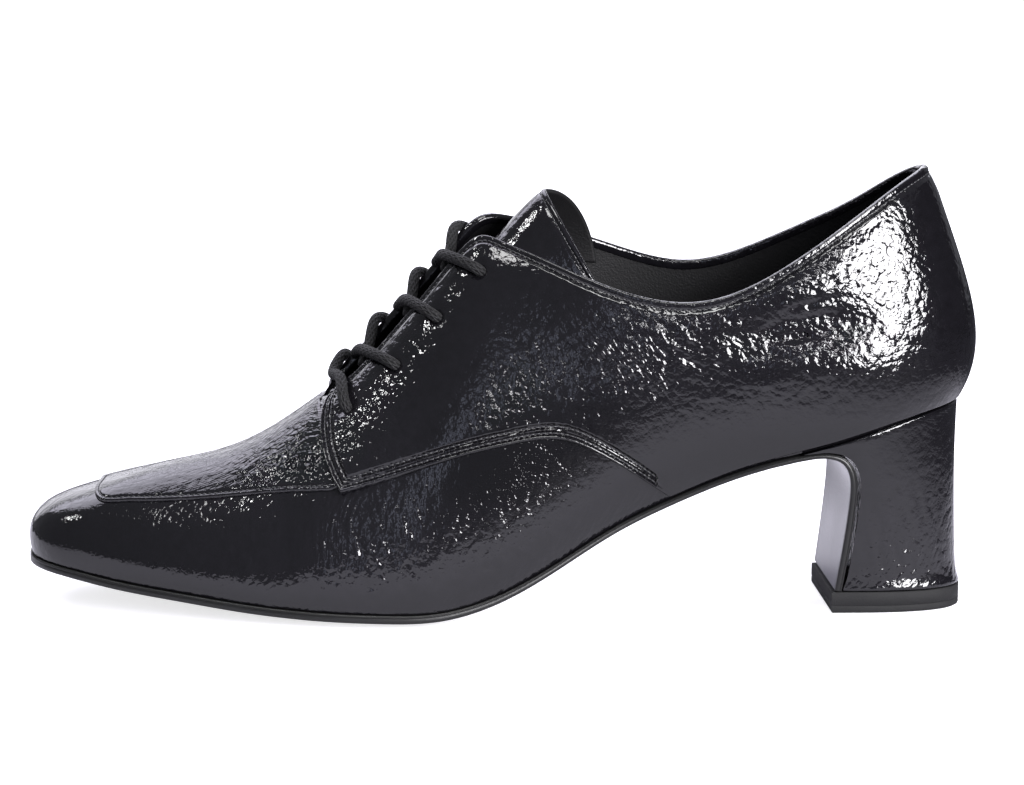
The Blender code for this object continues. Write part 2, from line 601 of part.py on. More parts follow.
def build_heel_block():
    lip = float(np.interp(LIP, [rib.foot_x for rib in RIBS], range(len(RIBS))))
    half = HEEL_POINTS // 2
    ribs = lip * np.linspace(1.0, 0.0, half + 1)[:-1] + 0.12
    outer = foot_edge(ribs, 1, HEEL_MARGIN)
    inner = foot_edge(ribs, -1, HEEL_MARGIN)[::-1]
    seat = np.concatenate([outer, inner])
    seat_back, seat_front = seat[:, 0].min(), seat[:, 0].max()
    seat_share = (seat[:, 0] - seat_back) / (seat_front - seat_back)
    base_share, base_y = top_piece_outline()
    face, inside, thick, _ = flap_path(np.array([level.flap for level in LEVELS]))
    fronts = face + inside * (thick + SOLE_GAP)[:, None]
    seat_z = FEATHER_LINE(seat_back) - SOLE_GAP
    rings = []
    for level, front in zip(LEVELS, fronts):
        share = base_share * (1.0 - level.blend) + seat_share * level.blend
        y = base_y * (1.0 - level.blend) + seat[:, 1] * level.blend
        back_x = np.interp(level.back_z, (TOP_PIECE, seat_z), (TOP_PIECE_BACK, seat_back))
        turned = skew(y) * min(1.0, (level.flap - 1.0) / 1.7)
        x = back_x + share * (front[0] + turned - back_x)
        z = level.back_z + share * (max(front[1], TOP_PIECE + SOLE_GAP) - level.back_z)
        rings.append(np.stack([x, y, z], axis=1))
    rings.append(np.concatenate([seat, (FEATHER_LINE(seat[:, 0]) - SOLE_GAP)[:, None]], axis=1))
    count = HEEL_POINTS
    faces = []
    for level in range(len(rings) - 1):
        for place in range(count):
            after = (place + 1) % count
            faces.append((level * count + place, level * count + after,
                          (level + 1) * count + after, (level + 1) * count + place))
    top = (len(rings) - 1) * count
    for place in range(half - 1):
        near, far = place, count - 1 - place
        faces.append((near, far, far - 1, near + 1))
        faces.append((top + near, top + near + 1, top + far - 1, top + far))
    add_mesh("heel_block", np.concatenate(rings), faces, closed=True)


def build_top_piece():
    share, y = top_piece_outline()
    x = TOP_PIECE_BACK + share * (TOP_PIECE_FRONT + skew(y) - TOP_PIECE_BACK)
    low = np.stack([x, y, np.zeros_like(x)], axis=1)
    high = low + np.array([0.0, 0.0, TOP_PIECE])
    count = HEEL_POINTS
    faces = [tuple(range(count))[::-1], tuple(range(count, 2 * count))]
    for place in range(count):
        after = (place + 1) % count
        faces.append((place, after, count + after, count + place))
    add_mesh("heel_top_piece", np.concatenate([low, high]), faces, closed=True)


def build_tongue():
    fine = np.linspace(0.0, len(TONGUES) - 1.0, 2 * len(TONGUES) - 1)
    read = {name: spline(range(len(TONGUES)), [getattr(row, name) for row in TONGUES])(fine)
            for name in Tongue._fields}
    span = math.radians(TONGUE_SPAN)
    turn = np.linspace(-span, span, 11)
    swing = np.sin(turn) / math.sin(span)
    sag = (1.0 - np.cos(turn)) / (1.0 - math.cos(span))
    drop = np.where(turn[None, :] > 0.0, read["drop_out"][:, None], read["drop_in"][:, None]) * sag
    lean = np.where(turn[:, None] > 0.0, TONGUE_LEAN_OUT, TONGUE_LEAN_IN)
    swept = np.where(turn[None, :] > 0.0, drop, read["drop_in"][:, None] * np.abs(swing))
    x = read["x"][:, None] + lean[:, 0] * swept
    edge = np.where(turn[None, :] > 0.0, read["out"][:, None] - TONGUE_MIDDLE,
                    TONGUE_MIDDLE - read["inn"][:, None])
    y = TONGUE_MIDDLE + edge * swing
    z = read["z"][:, None] + lean[:, 1] * drop
    grid = np.stack([x, y, z], axis=-1)[::-1]
    add_sheet("tongue", grid, TONGUE, outside=False)


def eyelet_places(side):
    """Ring and up places of one facing's eyelets, from the throat up."""
    start = (side * ring_at(13.5), 0.85)
    found = []
    for target in EYELETS_OUT if side > 0 else EYELETS_IN:
        start = locate(target, (0, 2), start)
        found.append(start)
    return np.array(found)


def lace_points(turns, number, outer, inner):
    """The middle line of one strand that belongs to the numbered eyelet pair."""
    base = FIT + QUARTER + LACE / 2.0
    points = []
    for turn in turns:
        ends = []
        for places in (outer, inner):
            level = number - turn.below
            count = np.arange(len(places))
            ring = np.interp(level, count, places[:, 0])
            ring += min(level, 0.0) * (places[1, 0] - places[0, 0])
            up = np.interp(level, count, places[:, 1]) if turn.at_hole else 1.0
            ends.append(last_offset(ring, up, base + turn.lift))
        point = turn.share * ends[0] + (1.0 - turn.share) * ends[1]
        point = point + np.array([0.0, turn.inset * (1.0 - 2.0 * turn.share), 0.0])
        points.append(point)
    points = np.array(points)
    walked = np.concatenate([[0.0], np.cumsum(np.linalg.norm(np.diff(points, axis=0), axis=1))])
    fine = np.linspace(0.0, walked[-1], 8)
    return np.stack([spline(walked, points[:, axis])(fine) for axis in range(3)], axis=1)


def add_cord(name, points, collection=SHOE):
    """A round cord along the points, closed at both ends."""
    line = bpy.data.curves.new(name, "CURVE")
    line.dimensions = "3D"
    line.bevel_depth = LACE / 2.0 * MM
    line.bevel_resolution = 2
    line.use_fill_caps = True
    path = line.splines.new("POLY")
    path.points.add(len(points) - 1)
    for place, point in zip(path.points, points):
        place.co = (*(Vector(point) * MM), 1.0)
    curve = bpy.data.objects.new(name + "_line", line)
    mesh = bpy.data.meshes.new_from_object(curve)
    bpy.data.objects.remove(curve)
    bm = bmesh.new()
    bm.from_mesh(mesh)
    bmesh.ops.remove_doubles(bm, verts=bm.verts, dist=0.01 * MM)
    bm.to_mesh(mesh)
    bm.free()
    return add_object(name, mesh, collection)


def build_lace():
    outer, inner = eyelet_places(1), eyelet_places(-1)
    add_cord("lace_bar", lace_points(BAR, 0, outer, inner))
    for number in (1, 2, 3):
        over = add_cord(f"lace_cross_{number}", lace_points(OVER, number, outer, inner))
        under = add_cord(f"lace_under_{number}", lace_points(UNDER, number, outer, inner), GUIDES)
        join = over.modifiers.new("join", "BOOLEAN")
        join.operation = "UNION"
        join.solver = "EXACT"
        join.object = under
        under.hide_render = True
        under.display_type = "WIRE"


def clear_scene():
    for leftover in list(bpy.data.objects):
        bpy.data.objects.remove(leftover)


def main():
    clear_scene()
    build_upper()
    build_quarter("quarter_outer", 1)
    build_quarter("quarter_inner", -1)
    build_apron()
    build_outsole()
    build_insole()
    build_heel_block()
    build_top_piece()
    build_tongue()
    build_lace()


main()
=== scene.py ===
"""Dresses a lace-up shoe with a block heel: crinkled patent upper, sewn quarters, lace, sole and heel.

Every piece is built on the same last surface as its solid, in the same frame: +X towards the toe,
+Y towards the outer side of the foot, +Z up. The tables are in millimetres and degrees.
"""

import math
from collections import namedtuple
from functools import lru_cache

import bmesh
import bpy
import numpy as np
from bpy.props import FloatProperty, FloatVectorProperty, PointerProperty
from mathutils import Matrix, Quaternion, Vector


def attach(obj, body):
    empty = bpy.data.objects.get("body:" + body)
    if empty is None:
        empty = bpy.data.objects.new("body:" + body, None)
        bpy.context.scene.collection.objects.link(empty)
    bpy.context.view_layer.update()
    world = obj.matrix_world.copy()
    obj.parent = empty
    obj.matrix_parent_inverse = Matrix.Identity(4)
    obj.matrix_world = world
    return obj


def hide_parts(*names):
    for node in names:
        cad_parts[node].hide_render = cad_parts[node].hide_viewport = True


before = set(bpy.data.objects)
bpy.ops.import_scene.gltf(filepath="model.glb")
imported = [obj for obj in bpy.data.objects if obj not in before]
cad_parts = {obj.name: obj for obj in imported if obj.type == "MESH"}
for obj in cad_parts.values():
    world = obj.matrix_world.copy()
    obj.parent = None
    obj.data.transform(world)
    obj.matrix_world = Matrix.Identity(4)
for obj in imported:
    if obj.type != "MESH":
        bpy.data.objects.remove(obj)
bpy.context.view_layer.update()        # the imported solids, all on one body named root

bl_info = {
    "name": "Lace-up shoe",
    "version": (1, 0, 0),
    "blender": (4, 5, 0),
    "location": "3D View > Sidebar > Shoe",
    "description": "Builds the visible pieces of a lace-up shoe around its solids",
    "category": "Object",
}

MM = 0.001
BODY = "root"

# Sizes shared with the solids
WALL = 1.3               # upper and lining together
LEATHER = 0.7            # the upper's own share of that wall
LINING_GAP = 0.05        # between the upper's leather and its lining
FIT = 0.45               # gap round the insole board and under it
SOLE_GAP = 0.3           # between the upper and the sole
SOLE_MARGIN = 0.5        # how far the sole stands out past the upper
HEEL_MARGIN = 1.5        # how far the heel's seat stands out past it
INSOLE = 2.0
TONGUE = 1.6
LACE = 3.0
TOP_PIECE = 5.6
TOP_PIECE_FRONT = -88.4
TOP_PIECE_BACK = -124.4
TOP_PIECE_OUT, TOP_PIECE_IN = 18.6, -19.4
TOP_PIECE_SQUARE = 2.9   # 2 would give an ellipse, more is squarer
HEEL_SKEW = 0.047        # how far the heel's front is turned, as a slope in plan
SKEW_FROM, SKEW_OVER = 1.0, 1.7     # stations of the flap over which that turn sets in
HEEL_BACK_RIB = 0.12     # the seat's points keep this part of a rib from the heel's back
PARTING = 0.6            # how far each quarter keeps from the line down the heel's back
QUARTER_FOOT = 0.022     # up place of a quarter's lower edge behind its seam
RING_LENGTH = 280.0      # half the way round the foot outline

# One row for each rib of the upper, from the heel's back to the toe. A rib leaves the sole at foot_x,
# foot_out or foot_in, leaning out by flare with a handle of length rise, and ends at top_x, top_out or
# top_in, top_z_out or top_z_in, falling away at drop with a handle of length reach. fall is the slope
# along the shoe at that end.
Rib = namedtuple("Rib", "foot_x foot_out foot_in flare rise "
                        "top_x top_out top_in top_z_out top_z_in drop reach fall")
RIBS = (
    Rib(-121.7, -1.0, -1.0, 34, 19, -113.4, -1.0, -1.0, 117.6, 117.6, 71, 32, 0),
    Rib(-119.5, 7.8, -9.6, 33, 19, -111.2, 6.2, -8.0, 116.8, 116.6, 72, 30, 0),
    Rib(-114.2, 15.2, -17.0, 30, 18, -105.4, 12.4, -14.0, 113.8, 113.0, 74, 28, 0),
    Rib(-105.0, 20.6, -22.0, 26, 17, -96.4, 18.4, -19.8, 108.0, 106.8, 78, 25, 0),
    Rib(-92.0, 22.8, -23.7, 24, 16, -84.5, 23.0, -24.4, 99.8, 100.4, 82, 22, 0),
    Rib(-74.0, 22.3, -22.8, 25, 16, -68.5, 25.6, -26.8, 89.8, 93.2, 86, 18, 0),
    Rib(-50.0, 21.3, -20.3, 27, 16, -48.5, 26.4, -27.2, 84.0, 89.2, 86, 16, 0),
    Rib(-26.0, 24.4, -20.4, 28, 17, -27.0, 24.0, -25.0, 88.4, 95.0, 78, 19, 0),
    Rib(-6.0, 30.2, -24.6, 26, 19, -9.0, 15.8, -17.2, 95.4, 101.0, 60, 22, 0),
    Rib(4.5, 33.0, -28.0, 24, 20, 0.3, 10.8, -12.0, 98.8, 103.4, 50, 24, 0),
    Rib(11.0, 34.6, -30.2, 22, 20, 5.4, 8.0, -9.6, 99.6, 103.2, 44, 25, 0),
    Rib(17.5, 35.9, -32.3, 21, 20, 10.4, 6.9, -8.7, 95.6, 99.2, 40, 24, 0),
    Rib(25.0, 36.8, -34.6, 20, 20, 16.5, 6.6, -8.4, 88.2, 92.0, 37, 22, 0),
    Rib(38.0, 37.0, -37.2, 20, 19, 30.0, 6.6, -8.2, 72.2, 76.4, 34, 20, 0),
    Rib(49.5, 35.8, -37.6, 22, 18, 42.2, 6.6, -7.8, 59.6, 63.0, 30, 18, 0),
    Rib(53.5, 35.0, -37.3, 22, 17, 45.8, 4.2, -5.8, 56.8, 59.0, 18, 16, 0),
    Rib(57.5, 34.2, -36.8, 22, 16.5, 48.0, -1.0, -1.0, 55.6, 55.6, 0, 15, 0),
    Rib(70.0, 31.6, -34.8, 24, 15, 61.5, -1.0, -1.0, 46.3, 46.3, 0, 15, 0),
    Rib(86.0, 27.7, -31.4, 24, 13.5, 76.0, -1.3, -1.3, 39.8, 39.8, 0, 16, -0.10),
    Rib(100.0, 23.8, -27.6, 22, 13, 87.0, -1.6, -1.6, 37.2, 37.2, 0, 17, -0.20),
    Rib(111.8, 20.2, -24.2, 18, 12.5, 93.5, -1.9, -1.9, 35.6, 35.6, 0, 18, -0.25),
    Rib(119.6, 16.5, -20.6, 15, 12.5, 96.3, -2.1, -2.1, 34.9, 34.9, 0, 20, -0.27),
    Rib(125.0, 10.3, -14.8, 14, 13.5, 97.6, -2.3, -2.3, 34.5, 34.5, 0, 22, -0.27),
    Rib(127.3, -2.5, -2.5, 14, 14, 98.0, -2.5, -2.5, 34.4, 34.4, 0, 22, -0.27),
)
THROAT_ROW = 16          # from this rib to the toe the two sides meet along the crest

# The feather line in side view, where the upper stands on the sole
FEATHER = ((-124.0, 56.0), (-112.0, 53.9), (-100.0, 50.4), (-88.0, 46.5), (-76.0, 43.2), (-62.0, 38.9),
           (-46.0, 32.4), (-30.0, 24.8), (-14.0, 15.4), (2.0, 7.6), (16.0, 4.2), (30.0, 3.9),
           (46.0, 4.4), (64.0, 5.5), (84.0, 7.8), (104.0, 10.4), (116.0, 12.6), (127.0, 14.2))

# The sole's flap down the front of the heel
Flap = namedtuple("Flap", "x z out inn thick")
FLAP = (
    Flap(-78.0, 41.5, 22.6, -23.2, 1.6), Flap(-83.0, 42.4, 22.6, -23.2, 1.5),
    Flap(-86.8, 42.4, 22.5, -23.1, 1.5), Flap(-90.0, 41.2, 22.3, -23.0, 1.6),
    Flap(-91.9, 38.4, 22.1, -22.8, 1.7), Flap(-92.5, 34.4, 21.8, -22.5, 1.8),
    Flap(-92.1, 28.0, 21.2, -21.9, 1.8), Flap(-90.9, 18.0, 20.2, -20.9, 1.8),
    Flap(-89.2, 6.2, 18.6, -19.4, 1.8),
)
WAIST_END = -72.0
SOLE_THICK = ((-72.0, 1.7), (-40.0, 1.9), (0.0, 2.2), (126.0, 2.2))
SOLE_BELLY = ((-72.0, 0.1), (-30.0, 1.2), (10.0, 2.1), (45.0, 2.1), (90.0, 1.2), (126.0, 0.4))

# The heel block's levels
Level = namedtuple("Level", "flap back_z blend")
LEVELS = (
    Level(8.0, 6.0, 0.00), Level(7.0, 20.0, 0.20), Level(6.0, 32.5, 0.42), Level(5.0, 40.5, 0.62),
    Level(4.5, 43.5, 0.69), Level(4.0, 46.0, 0.75), Level(3.5, 48.5, 0.81), Level(3.0, 50.5, 0.86),
    Level(2.5, 52.2, 0.91), Level(2.0, 53.6, 0.95), Level(1.5, 54.6, 0.98),
)
LIP = -81.5

# Quarter seam in side view, from the sole forward to the front corner
QUARTER_SEAM = ((-44.5, 32.6), (-39.2, 36.4), (-33.8, 40.2), (-25.9, 45.0), (-18.1, 48.4),
                (-10.3, 49.0), (0.1, 47.2), (13.1, 44.0), (26.2, 39.6), (34.1, 37.0), (41.5, 34.6))
QUARTER_TOP_RIB = 14.8
QUARTER_BULGE = 0.012

# Apron edge: sides in side view, then the front in plan
APRON_SIDE = ((44.6, 35.4), (54.0, 34.3), (66.0, 32.7), (78.0, 31.1), (90.0, 30.1), (99.0, 29.7))
Front = namedtuple("Front", "x out inn")
APRON_FRONT = (Front(105.6, 14.6, -18.3), Front(108.2, 11.8, -15.8), Front(109.2, 6.6, -11.2),
               Front(109.3, -2.5, -2.5))
APRON_BACK_RIB = 16.05   # its rear edge at the crest, just before the throat
APRON_UNDER = 0.022      # how far it runs on under the quarters, on the ring

# Tongue, a row for each station up the instep
Tongue = namedtuple("Tongue", "x z out inn drop_out drop_in")
TONGUES = (
    Tongue(57.0, 46.3, 10.0, -12.0, 4.0, 2.9), Tongue(48.0, 52.4, 11.0, -13.0, 5.0, 3.6),
    Tongue(36.0, 63.6, 12.0, -14.0, 7.0, 4.7), Tongue(24.0, 75.6, 13.0, -15.0, 9.0, 5.8),
    Tongue(12.0, 88.0, 14.5, -16.0, 12.0, 7.8), Tongue(1.0, 99.4, 15.0, -16.5, 17.0, 12.0),
    Tongue(-6.0, 107.0, 15.2, -17.2, 24.0, 17.0), Tongue(-11.6, 112.0, 16.0, -17.6, 30.0, 22.0),
)
TONGUE_MIDDLE = -1.0
TONGUE_LEAN_OUT = (-0.50, -0.866)
TONGUE_LEAN_IN = (-0.66, -1.0)      # on this side it first swings back, then drops
TONGUE_SPAN = 78

# Eyelets of the two facings in side view, from the throat up
EYELETS_OUT = ((40.0, 54.6), (27.2, 66.2), (16.2, 78.8), (5.0, 91.0))
EYELETS_IN = ((39.0, 58.2), (26.4, 70.2), (15.4, 82.4), (3.6, 94.6))

# The lace's strands, a row for each turn: share 1 is the outer facing and 0 the inner one, then at an
# eyelet or at the facing's edge, how many eyelets below its own, height over the leather, and how far
# in over the throat. At an eyelet the strand goes down through it, so the height counts for nothing.
Turn = namedtuple("Turn", "share at_hole below lift inset")
BAR = (Turn(1.0, True, 0.0, 0.0, 0.0), Turn(1.0, False, 0.25, 0.0, 0.0), Turn(0.5, False, 0.45, 0.2, 0.0),
       Turn(0.0, False, 0.25, 0.0, 0.0), Turn(0.0, True, 0.0, 0.0, 0.0))
OVER = (Turn(1.0, True, 0.0, 0.0, 0.0), Turn(1.0, False, 0.64, 0.0, 0.0), Turn(0.5, False, 0.87, -0.2, 0.0),
        Turn(0.0, False, 1.1, -2.2, 2.8))
UNDER = (Turn(0.0, True, 0.0, 0.0, 0.0), Turn(0.0, False, 0.45, 0.0, 0.0), Turn(0.5, False, 0.7, -1.5, 0.0),
         Turn(1.0, False, 0.9, -2.6, 2.8))
EYELET_THROUGH = -2.6    # how deep the lace goes down an eyelet
EYELET_MOUTH = 0.35 * LACE          # the height at which it enters

# Creases placed in side view: from one end to the other, how far the middle bows to the left
# of that way, half width and depth. Beside each trough stand two low ridges.
RIDGE_OFF, RIDGE_SHARE = 1.7, 0.45
INNER_CREASE_SHIFT = 5.0            # how far back they lie on the inner side
CREASE_FROM_LOW, CREASE_FROM_TOP = (3.0, 8.0), (1.0, 4.0)       # a quarter's edges stay free of them
HEEL_CREASE_FROM_LOW, HEEL_CREASE_FROM_TOP = (0.5, 2.0), (2.0, 5.0)
Crease = namedtuple("Crease", "x0 z0 x1 z1 bow width depth")
QUARTER_CREASES = (
    Crease(-17.0, 73.0, -27.5, 81.5, -0.8, 0.95, 0.16), Crease(-18.5, 69.5, -31.0, 79.0, -1.2, 0.90, 0.22),
    Crease(-19.5, 66.0, -33.5, 76.0, -1.4, 1.05, 0.18), Crease(-22.0, 63.0, -38.0, 73.4, -1.6, 0.90, 0.20),
    Crease(-26.5, 61.0, -38.5, 69.0, -1.0, 1.05, 0.14), Crease(-31.0, 81.5, -40.5, 77.4, 1.0, 0.90, 0.18),
    Crease(-37.5, 79.8, -47.0, 75.6, 0.8, 0.95, 0.22), Crease(-41.0, 76.4, -52.0, 70.6, 1.0, 1.0, 0.22),
    Crease(-44.5, 72.0, -54.0, 66.0, 0.8, 1.0, 0.22), Crease(-69.0, 78.6, -93.0, 85.4, 2.2, 1.05, 0.26),
    Crease(-66.0, 75.4, -89.0, 80.6, 2.4, 1.05, 0.28), Crease(-68.0, 71.8, -84.0, 75.2, 1.8, 1.0, 0.22),
    Crease(-61.5, 69.0, -77.0, 70.6, 1.4, 1.0, 0.18), Crease(-58.0, 73.0, -101.0, 79.5, 1.5, 6.0, 1.30),
)
VAMP_CREASES = (
    Crease(43.6, 31.0, 37.0, 12.0, 1.0, 0.85, 0.24), Crease(40.6, 31.4, 33.0, 11.4, 1.2, 0.90, 0.28),
    Crease(37.4, 32.2, 29.6, 11.6, 1.2, 0.85, 0.28), Crease(34.2, 32.8, 26.2, 12.4, 1.2, 0.90, 0.26),
    Crease(30.8, 33.4, 23.0, 14.4, 1.0, 0.85, 0.22), Crease(27.0, 34.6, 20.6, 18.6, 0.8, 0.90, 0.18),
    Crease(46.8, 30.4, 42.6, 14.8, 0.8, 0.85, 0.16),
)
HEEL_CREASES = (
    Crease(-94.4, 24.0, -96.6, 15.0, 0.6, 0.90, 0.14), Crease(-97.0, 32.0, -100.4, 18.0, 0.7, 0.95, 0.16),
    Crease(-99.0, 20.0, -101.6, 11.4, 0.5, 0.90, 0.20), Crease(-101.4, 36.0, -104.6, 23.0, 0.8, 0.90, 0.18),
    Crease(-102.6, 21.0, -106.0, 11.0, 0.6, 0.85, 0.24), Crease(-105.8, 31.0, -109.0, 18.0, 0.8, 0.90, 0.22),
    Crease(-107.6, 17.0, -110.6, 10.2, 0.4, 0.80, 0.26), Crease(-109.6, 35.0, -112.4, 22.0, 0.7, 0.85, 0.20),
    Crease(-111.6, 20.0, -114.4, 10.8, 0.5, 0.80, 0.24), Crease(-114.6, 30.0, -117.2, 17.0, 0.6, 0.80, 0.20),
    Crease(-96.0, 11.6, -101.0, 10.2, 0.3, 0.70, 0.24), Crease(-103.0, 13.4, -108.6, 11.0, 0.4, 0.75, 0.26),
)

# Where the patent is crinkled most, in side view: middle, reach along and up, and amount
Patch = namedtuple("Patch", "x z along up amount")
PATCHES = (
    Patch(-38.0, 72.0, 26.0, 12.0, 0.45), Patch(-88.0, 84.0, 24.0, 22.0, 0.40),
    Patch(36.0, 48.0, 12.0, 14.0, 0.45), Patch(38.0, 22.0, 16.0, 13.0, 0.30),
    Patch(58.0, 40.0, 18.0, 9.0, 0.35), Patch(80.0, 31.0, 24.0, 7.0, 0.10),
    Patch(-106.0, 16.0, 14.0, 10.0, 0.35), Patch(110.0, 22.0, 26.0, 22.0, -0.24),
    Patch(-60.0, 46.0, 60.0, 9.0, -0.20), Patch(2.0, 40.0, 18.0, 10.0, -0.30),
)
CRINKLE_BASE = 0.42

# How the leather lies over the last: seats, edges, stitch rows from an edge, and the folded topline
QUARTER_SEAT = 0.15
QUARTER_FRONT_LIFT, QUARTER_FRONT_EASE = 0.35, 10.0
QUARTER_SEAM_RIB = 6.3   # the rib where the seam leaves the sole
SEAM_START = 0.1         # its stitches begin within this part of a rib
FACING_RIB = 11.0        # from this rib the quarter's lines start to lean to its front edge
SKIVE, SKIVE_REACH = 0.55, 8.0      # share of the leather pared away towards the topline
BACK_SEAM = 0.5
APRON_SEAT = -0.05
APRON_REAR_EASE = 2.0
SEAM_ROWS = (1.7, 3.4)
TOP_ROW = 1.4
APRON_ROW, APRON_SEWN = 1.4, 5.0    # the row starts that far from the rear edge
TONGUE_ROW, TONGUE_SEWN = 1.6, 60.0  # the rows run that far down from the top
TONGUE_FULL = 0.4        # stitches draw the tongue in where half its thickness is more than this
PULL_BAND = (0.10, 1.15)            # beside a row the leather rises again over this band
PULL_DEPTH = 0.58
PULL_UNEVEN, PULL_SCALE = 0.5, 0.45
TOP_PULL = 0.72          # the topline row pulls the leather in less steeply than the seams do
NOT_SEWN = 20.0          # keeps the quarter's edge at the sole free of stitches
STITCH_DIP, STITCH_SPREAD = 0.28, 0.42
EYELET_DIP, EYELET_RADIUS = 0.8, 1.9
LEATHER_OVER = 0.9       # leather under the lace on the facings
FOLD_LIFT, FOLD_BACK_LIFT = 0.65, 0.2
FOLD_INSIDE = -1.65
FOLD_LEG = (0.4, 0.9, 1.4, 1.8, 2.0, 2.1)
FOLD_END = 0.4
JUST_BELOW_TOP = 0.985   # the up place from which the way over the topline is read
BELLY_INSIDE = 0.35      # share of the sole's belly on its upper side
BELLY_BREADTH = 30.0     # where the sole is narrower than this its belly dies out
EDGE_BREADTH = 6.0       # and where it is narrower than this, its edge profile
FLAP_TURN = 3.0          # the flap takes on the heel's turn over its first part, 1 in this many
# Painted reflection: the flap's face is painted paler, standing in for the floor's sheen at a grazing view,
# over these stations and breadth
FLAP_SHEEN_STATIONS, FLAP_SHEEN_RIM = (1.0, 3.0), (0.02, 0.1)   # stations and breadth over which its face grows pale
HEEL_ROUND, HEEL_ROUND_LOW, HEEL_ROUND_TOP = 0.4, 0.6, 0.7
HEEL_FLARE = 0.7         # how far it spreads again at the top piece
HEEL_FLARE_START, HEEL_FLARE_REACH = 2.4, 16.0
HEEL_HOLLOW = 1.0        # how far the heel's sides draw in half way up
CORD_END, CORD_REST = 0.55, 0.45    # share of the lace's radius left at an end, and the rest

# Edge profiles: how far out a point lies, and its share of the way down the edge
EdgeStep = namedtuple("EdgeStep", "out down")
SOLE_EDGE = (EdgeStep(0.22, 0.06), EdgeStep(0.34, 0.2), EdgeStep(0.2, 0.3), EdgeStep(0.34, 0.4),
             EdgeStep(0.36, 0.7), EdgeStep(0.2, 0.93))
SOCK_EDGE = (EdgeStep(0.2, 0.15), EdgeStep(0.3, 0.5), EdgeStep(0.2, 0.85))
TipStep = namedtuple("TipStep", "z inset")
TOP_PIECE_EDGE = (TipStep(0.0, 0.35), TipStep(0.12, 0.12), TipStep(0.35, 0.0), TipStep(1.7, 0.0),
                  TipStep(1.9, 0.2), TipStep(2.1, 0.0), TipStep(5.3, 0.0), TipStep(5.6, 0.25))
HEEL_RIM = (0.3, 0.6, 0.8, 0.92, 1.0)
HEEL_FIRST = (0.001, 0.003, 0.006, 0.01)
EDGE_STEPS = np.array([0.04, 0.12, 0.24, 0.38, 0.55, 0.8, 1.1, 1.45, 1.8, 2.2, 2.6, 2.95, 3.4])

# How finely each piece is divided, and the rough lengths that turn the edge steps into shares
UPPER_COLUMNS, UPPER_ROWS = 520, 60
QUARTER_COLUMNS, QUARTER_ROWS = 250, 84
QUARTER_LENGTH, QUARTER_HEIGHT = 190.0, 62.0
SEAM_POINTS = 61
APRON_FINE, APRON_LINES, APRON_HALF = 10, 44, 34.0
TONGUE_COLUMNS, TONGUE_LINES = 50, 90
TONGUE_BREADTH, TONGUE_LENGTH = 50.0, 95.0
ACROSS = np.linspace(-1.0, 1.0, 25)
SOLE_STATIONS, FLAP_STATIONS, FLAP_STEP = 150, 60, 0.05
HEEL_POINTS, HEEL_ROWS = 160, 64
FOLD_STEPS = 8
STRAND_POINTS, CORD_SIDES, CORD_STRANDS = 72, 32, 8
CORD_TURN = np.linspace(0.0, 2.0 * math.pi, CORD_SIDES, endpoint=False)
SHARP_ANGLE = 50
MERGED, SLIVER = 0.01, 0.002        # points this near are one; faces this thin are dropped
SMALL_STEP = 1e-4        # for slopes on the ring
NORMAL_STEP = 1e-3       # for normals of the last
NORMAL_TOP = 0.97        # above this up place the normal stays the same
CREST_MIX = (0.94, 0.06)            # from this up place, and over how much, both sides' normals mix
SEARCH_TURNS, SEARCH_MISS, SEARCH_STRIDE = 40, 1e-3, 0.05
SIDE_VIEW, PLAN = (0, 2), (0, 1)    # the two coordinates that a search looks at
EYELET_START, APRON_START = (13.5, 0.85), (14.0, 0.5)   # rib and up place where a search begins


def spline(knots, values):
    """A smooth curve through the values, straight at both ends, as a function of the knots."""
    knots = np.asarray(knots, float)
    values = np.asarray(values, float)
    count = len(knots)
    step = np.diff(knots)
    matrix = np.eye(count)
    right = np.zeros(count)
    for row in range(1, count - 1):
        matrix[row, row - 1] = step[row - 1]
        matrix[row, row] = 2.0 * (step[row - 1] + step[row])
        matrix[row, row + 1] = step[row]
        after = (values[row + 1] - values[row]) / step[row]
        before = (values[row] - values[row - 1]) / step[row - 1]
        right[row] = 6.0 * (after - before)
    bend = np.linalg.solve(matrix, right)

    def curve(at):
        """The curve's value."""
        at = np.asarray(at, float)
        place = np.clip(np.searchsorted(knots, at) - 1, 0, count - 2)
        width = step[place]
        left = (knots[place + 1] - at) / width
        rest = 1.0 - left
        lift = (left ** 3 - left) * bend[place] + (rest ** 3 - rest) * bend[place + 1]
        return left * values[place] + rest * values[place + 1] + lift * width ** 2 / 6.0

    return curve


def ring_knots():
    """Where each rib stands on the ring: 0 at the toe, 1 at the heel's back."""
    out = np.array([(rib.foot_x, rib.foot_out) for rib in RIBS])
    inn = np.array([(rib.foot_x, rib.foot_in) for rib in RIBS])
    length = np.linalg.norm(np.diff(out, axis=0), axis=1) + np.linalg.norm(np.diff(inn, axis=0), axis=1)
    walked = np.concatenate([[0.0], np.cumsum(length)])
    return 1.0 - walked / walked[-1]


KNOTS = ring_knots()
THROAT = KNOTS[THROAT_ROW]
FEATHER_LINE = spline(*zip(*FEATHER))


def around(outer, inner, wrap=4):
    """A smooth closed curve round the whole ring through the outer and then the inner values."""
    knots = np.concatenate([KNOTS[::-1], 2.0 - KNOTS[1:]])
    values = np.concatenate([np.asarray(outer, float)[::-1], np.asarray(inner, float)[1:]])
    head = slice(-1 - wrap, -1)
    tail = slice(1, 1 + wrap)
    knots_all = np.concatenate([knots[head] - 2.0, knots, knots[tail] + 2.0])
    values_all = np.concatenate([values[head], values, values[tail]])
    curve = spline(knots_all, values_all)
    return lambda ring: curve(np.mod(ring, 2.0))


def both(name):
    """The same closed curve on both sides, for a column that has one value a rib."""
    values = [getattr(rib, name) for rib in RIBS]
    return around(values, values)


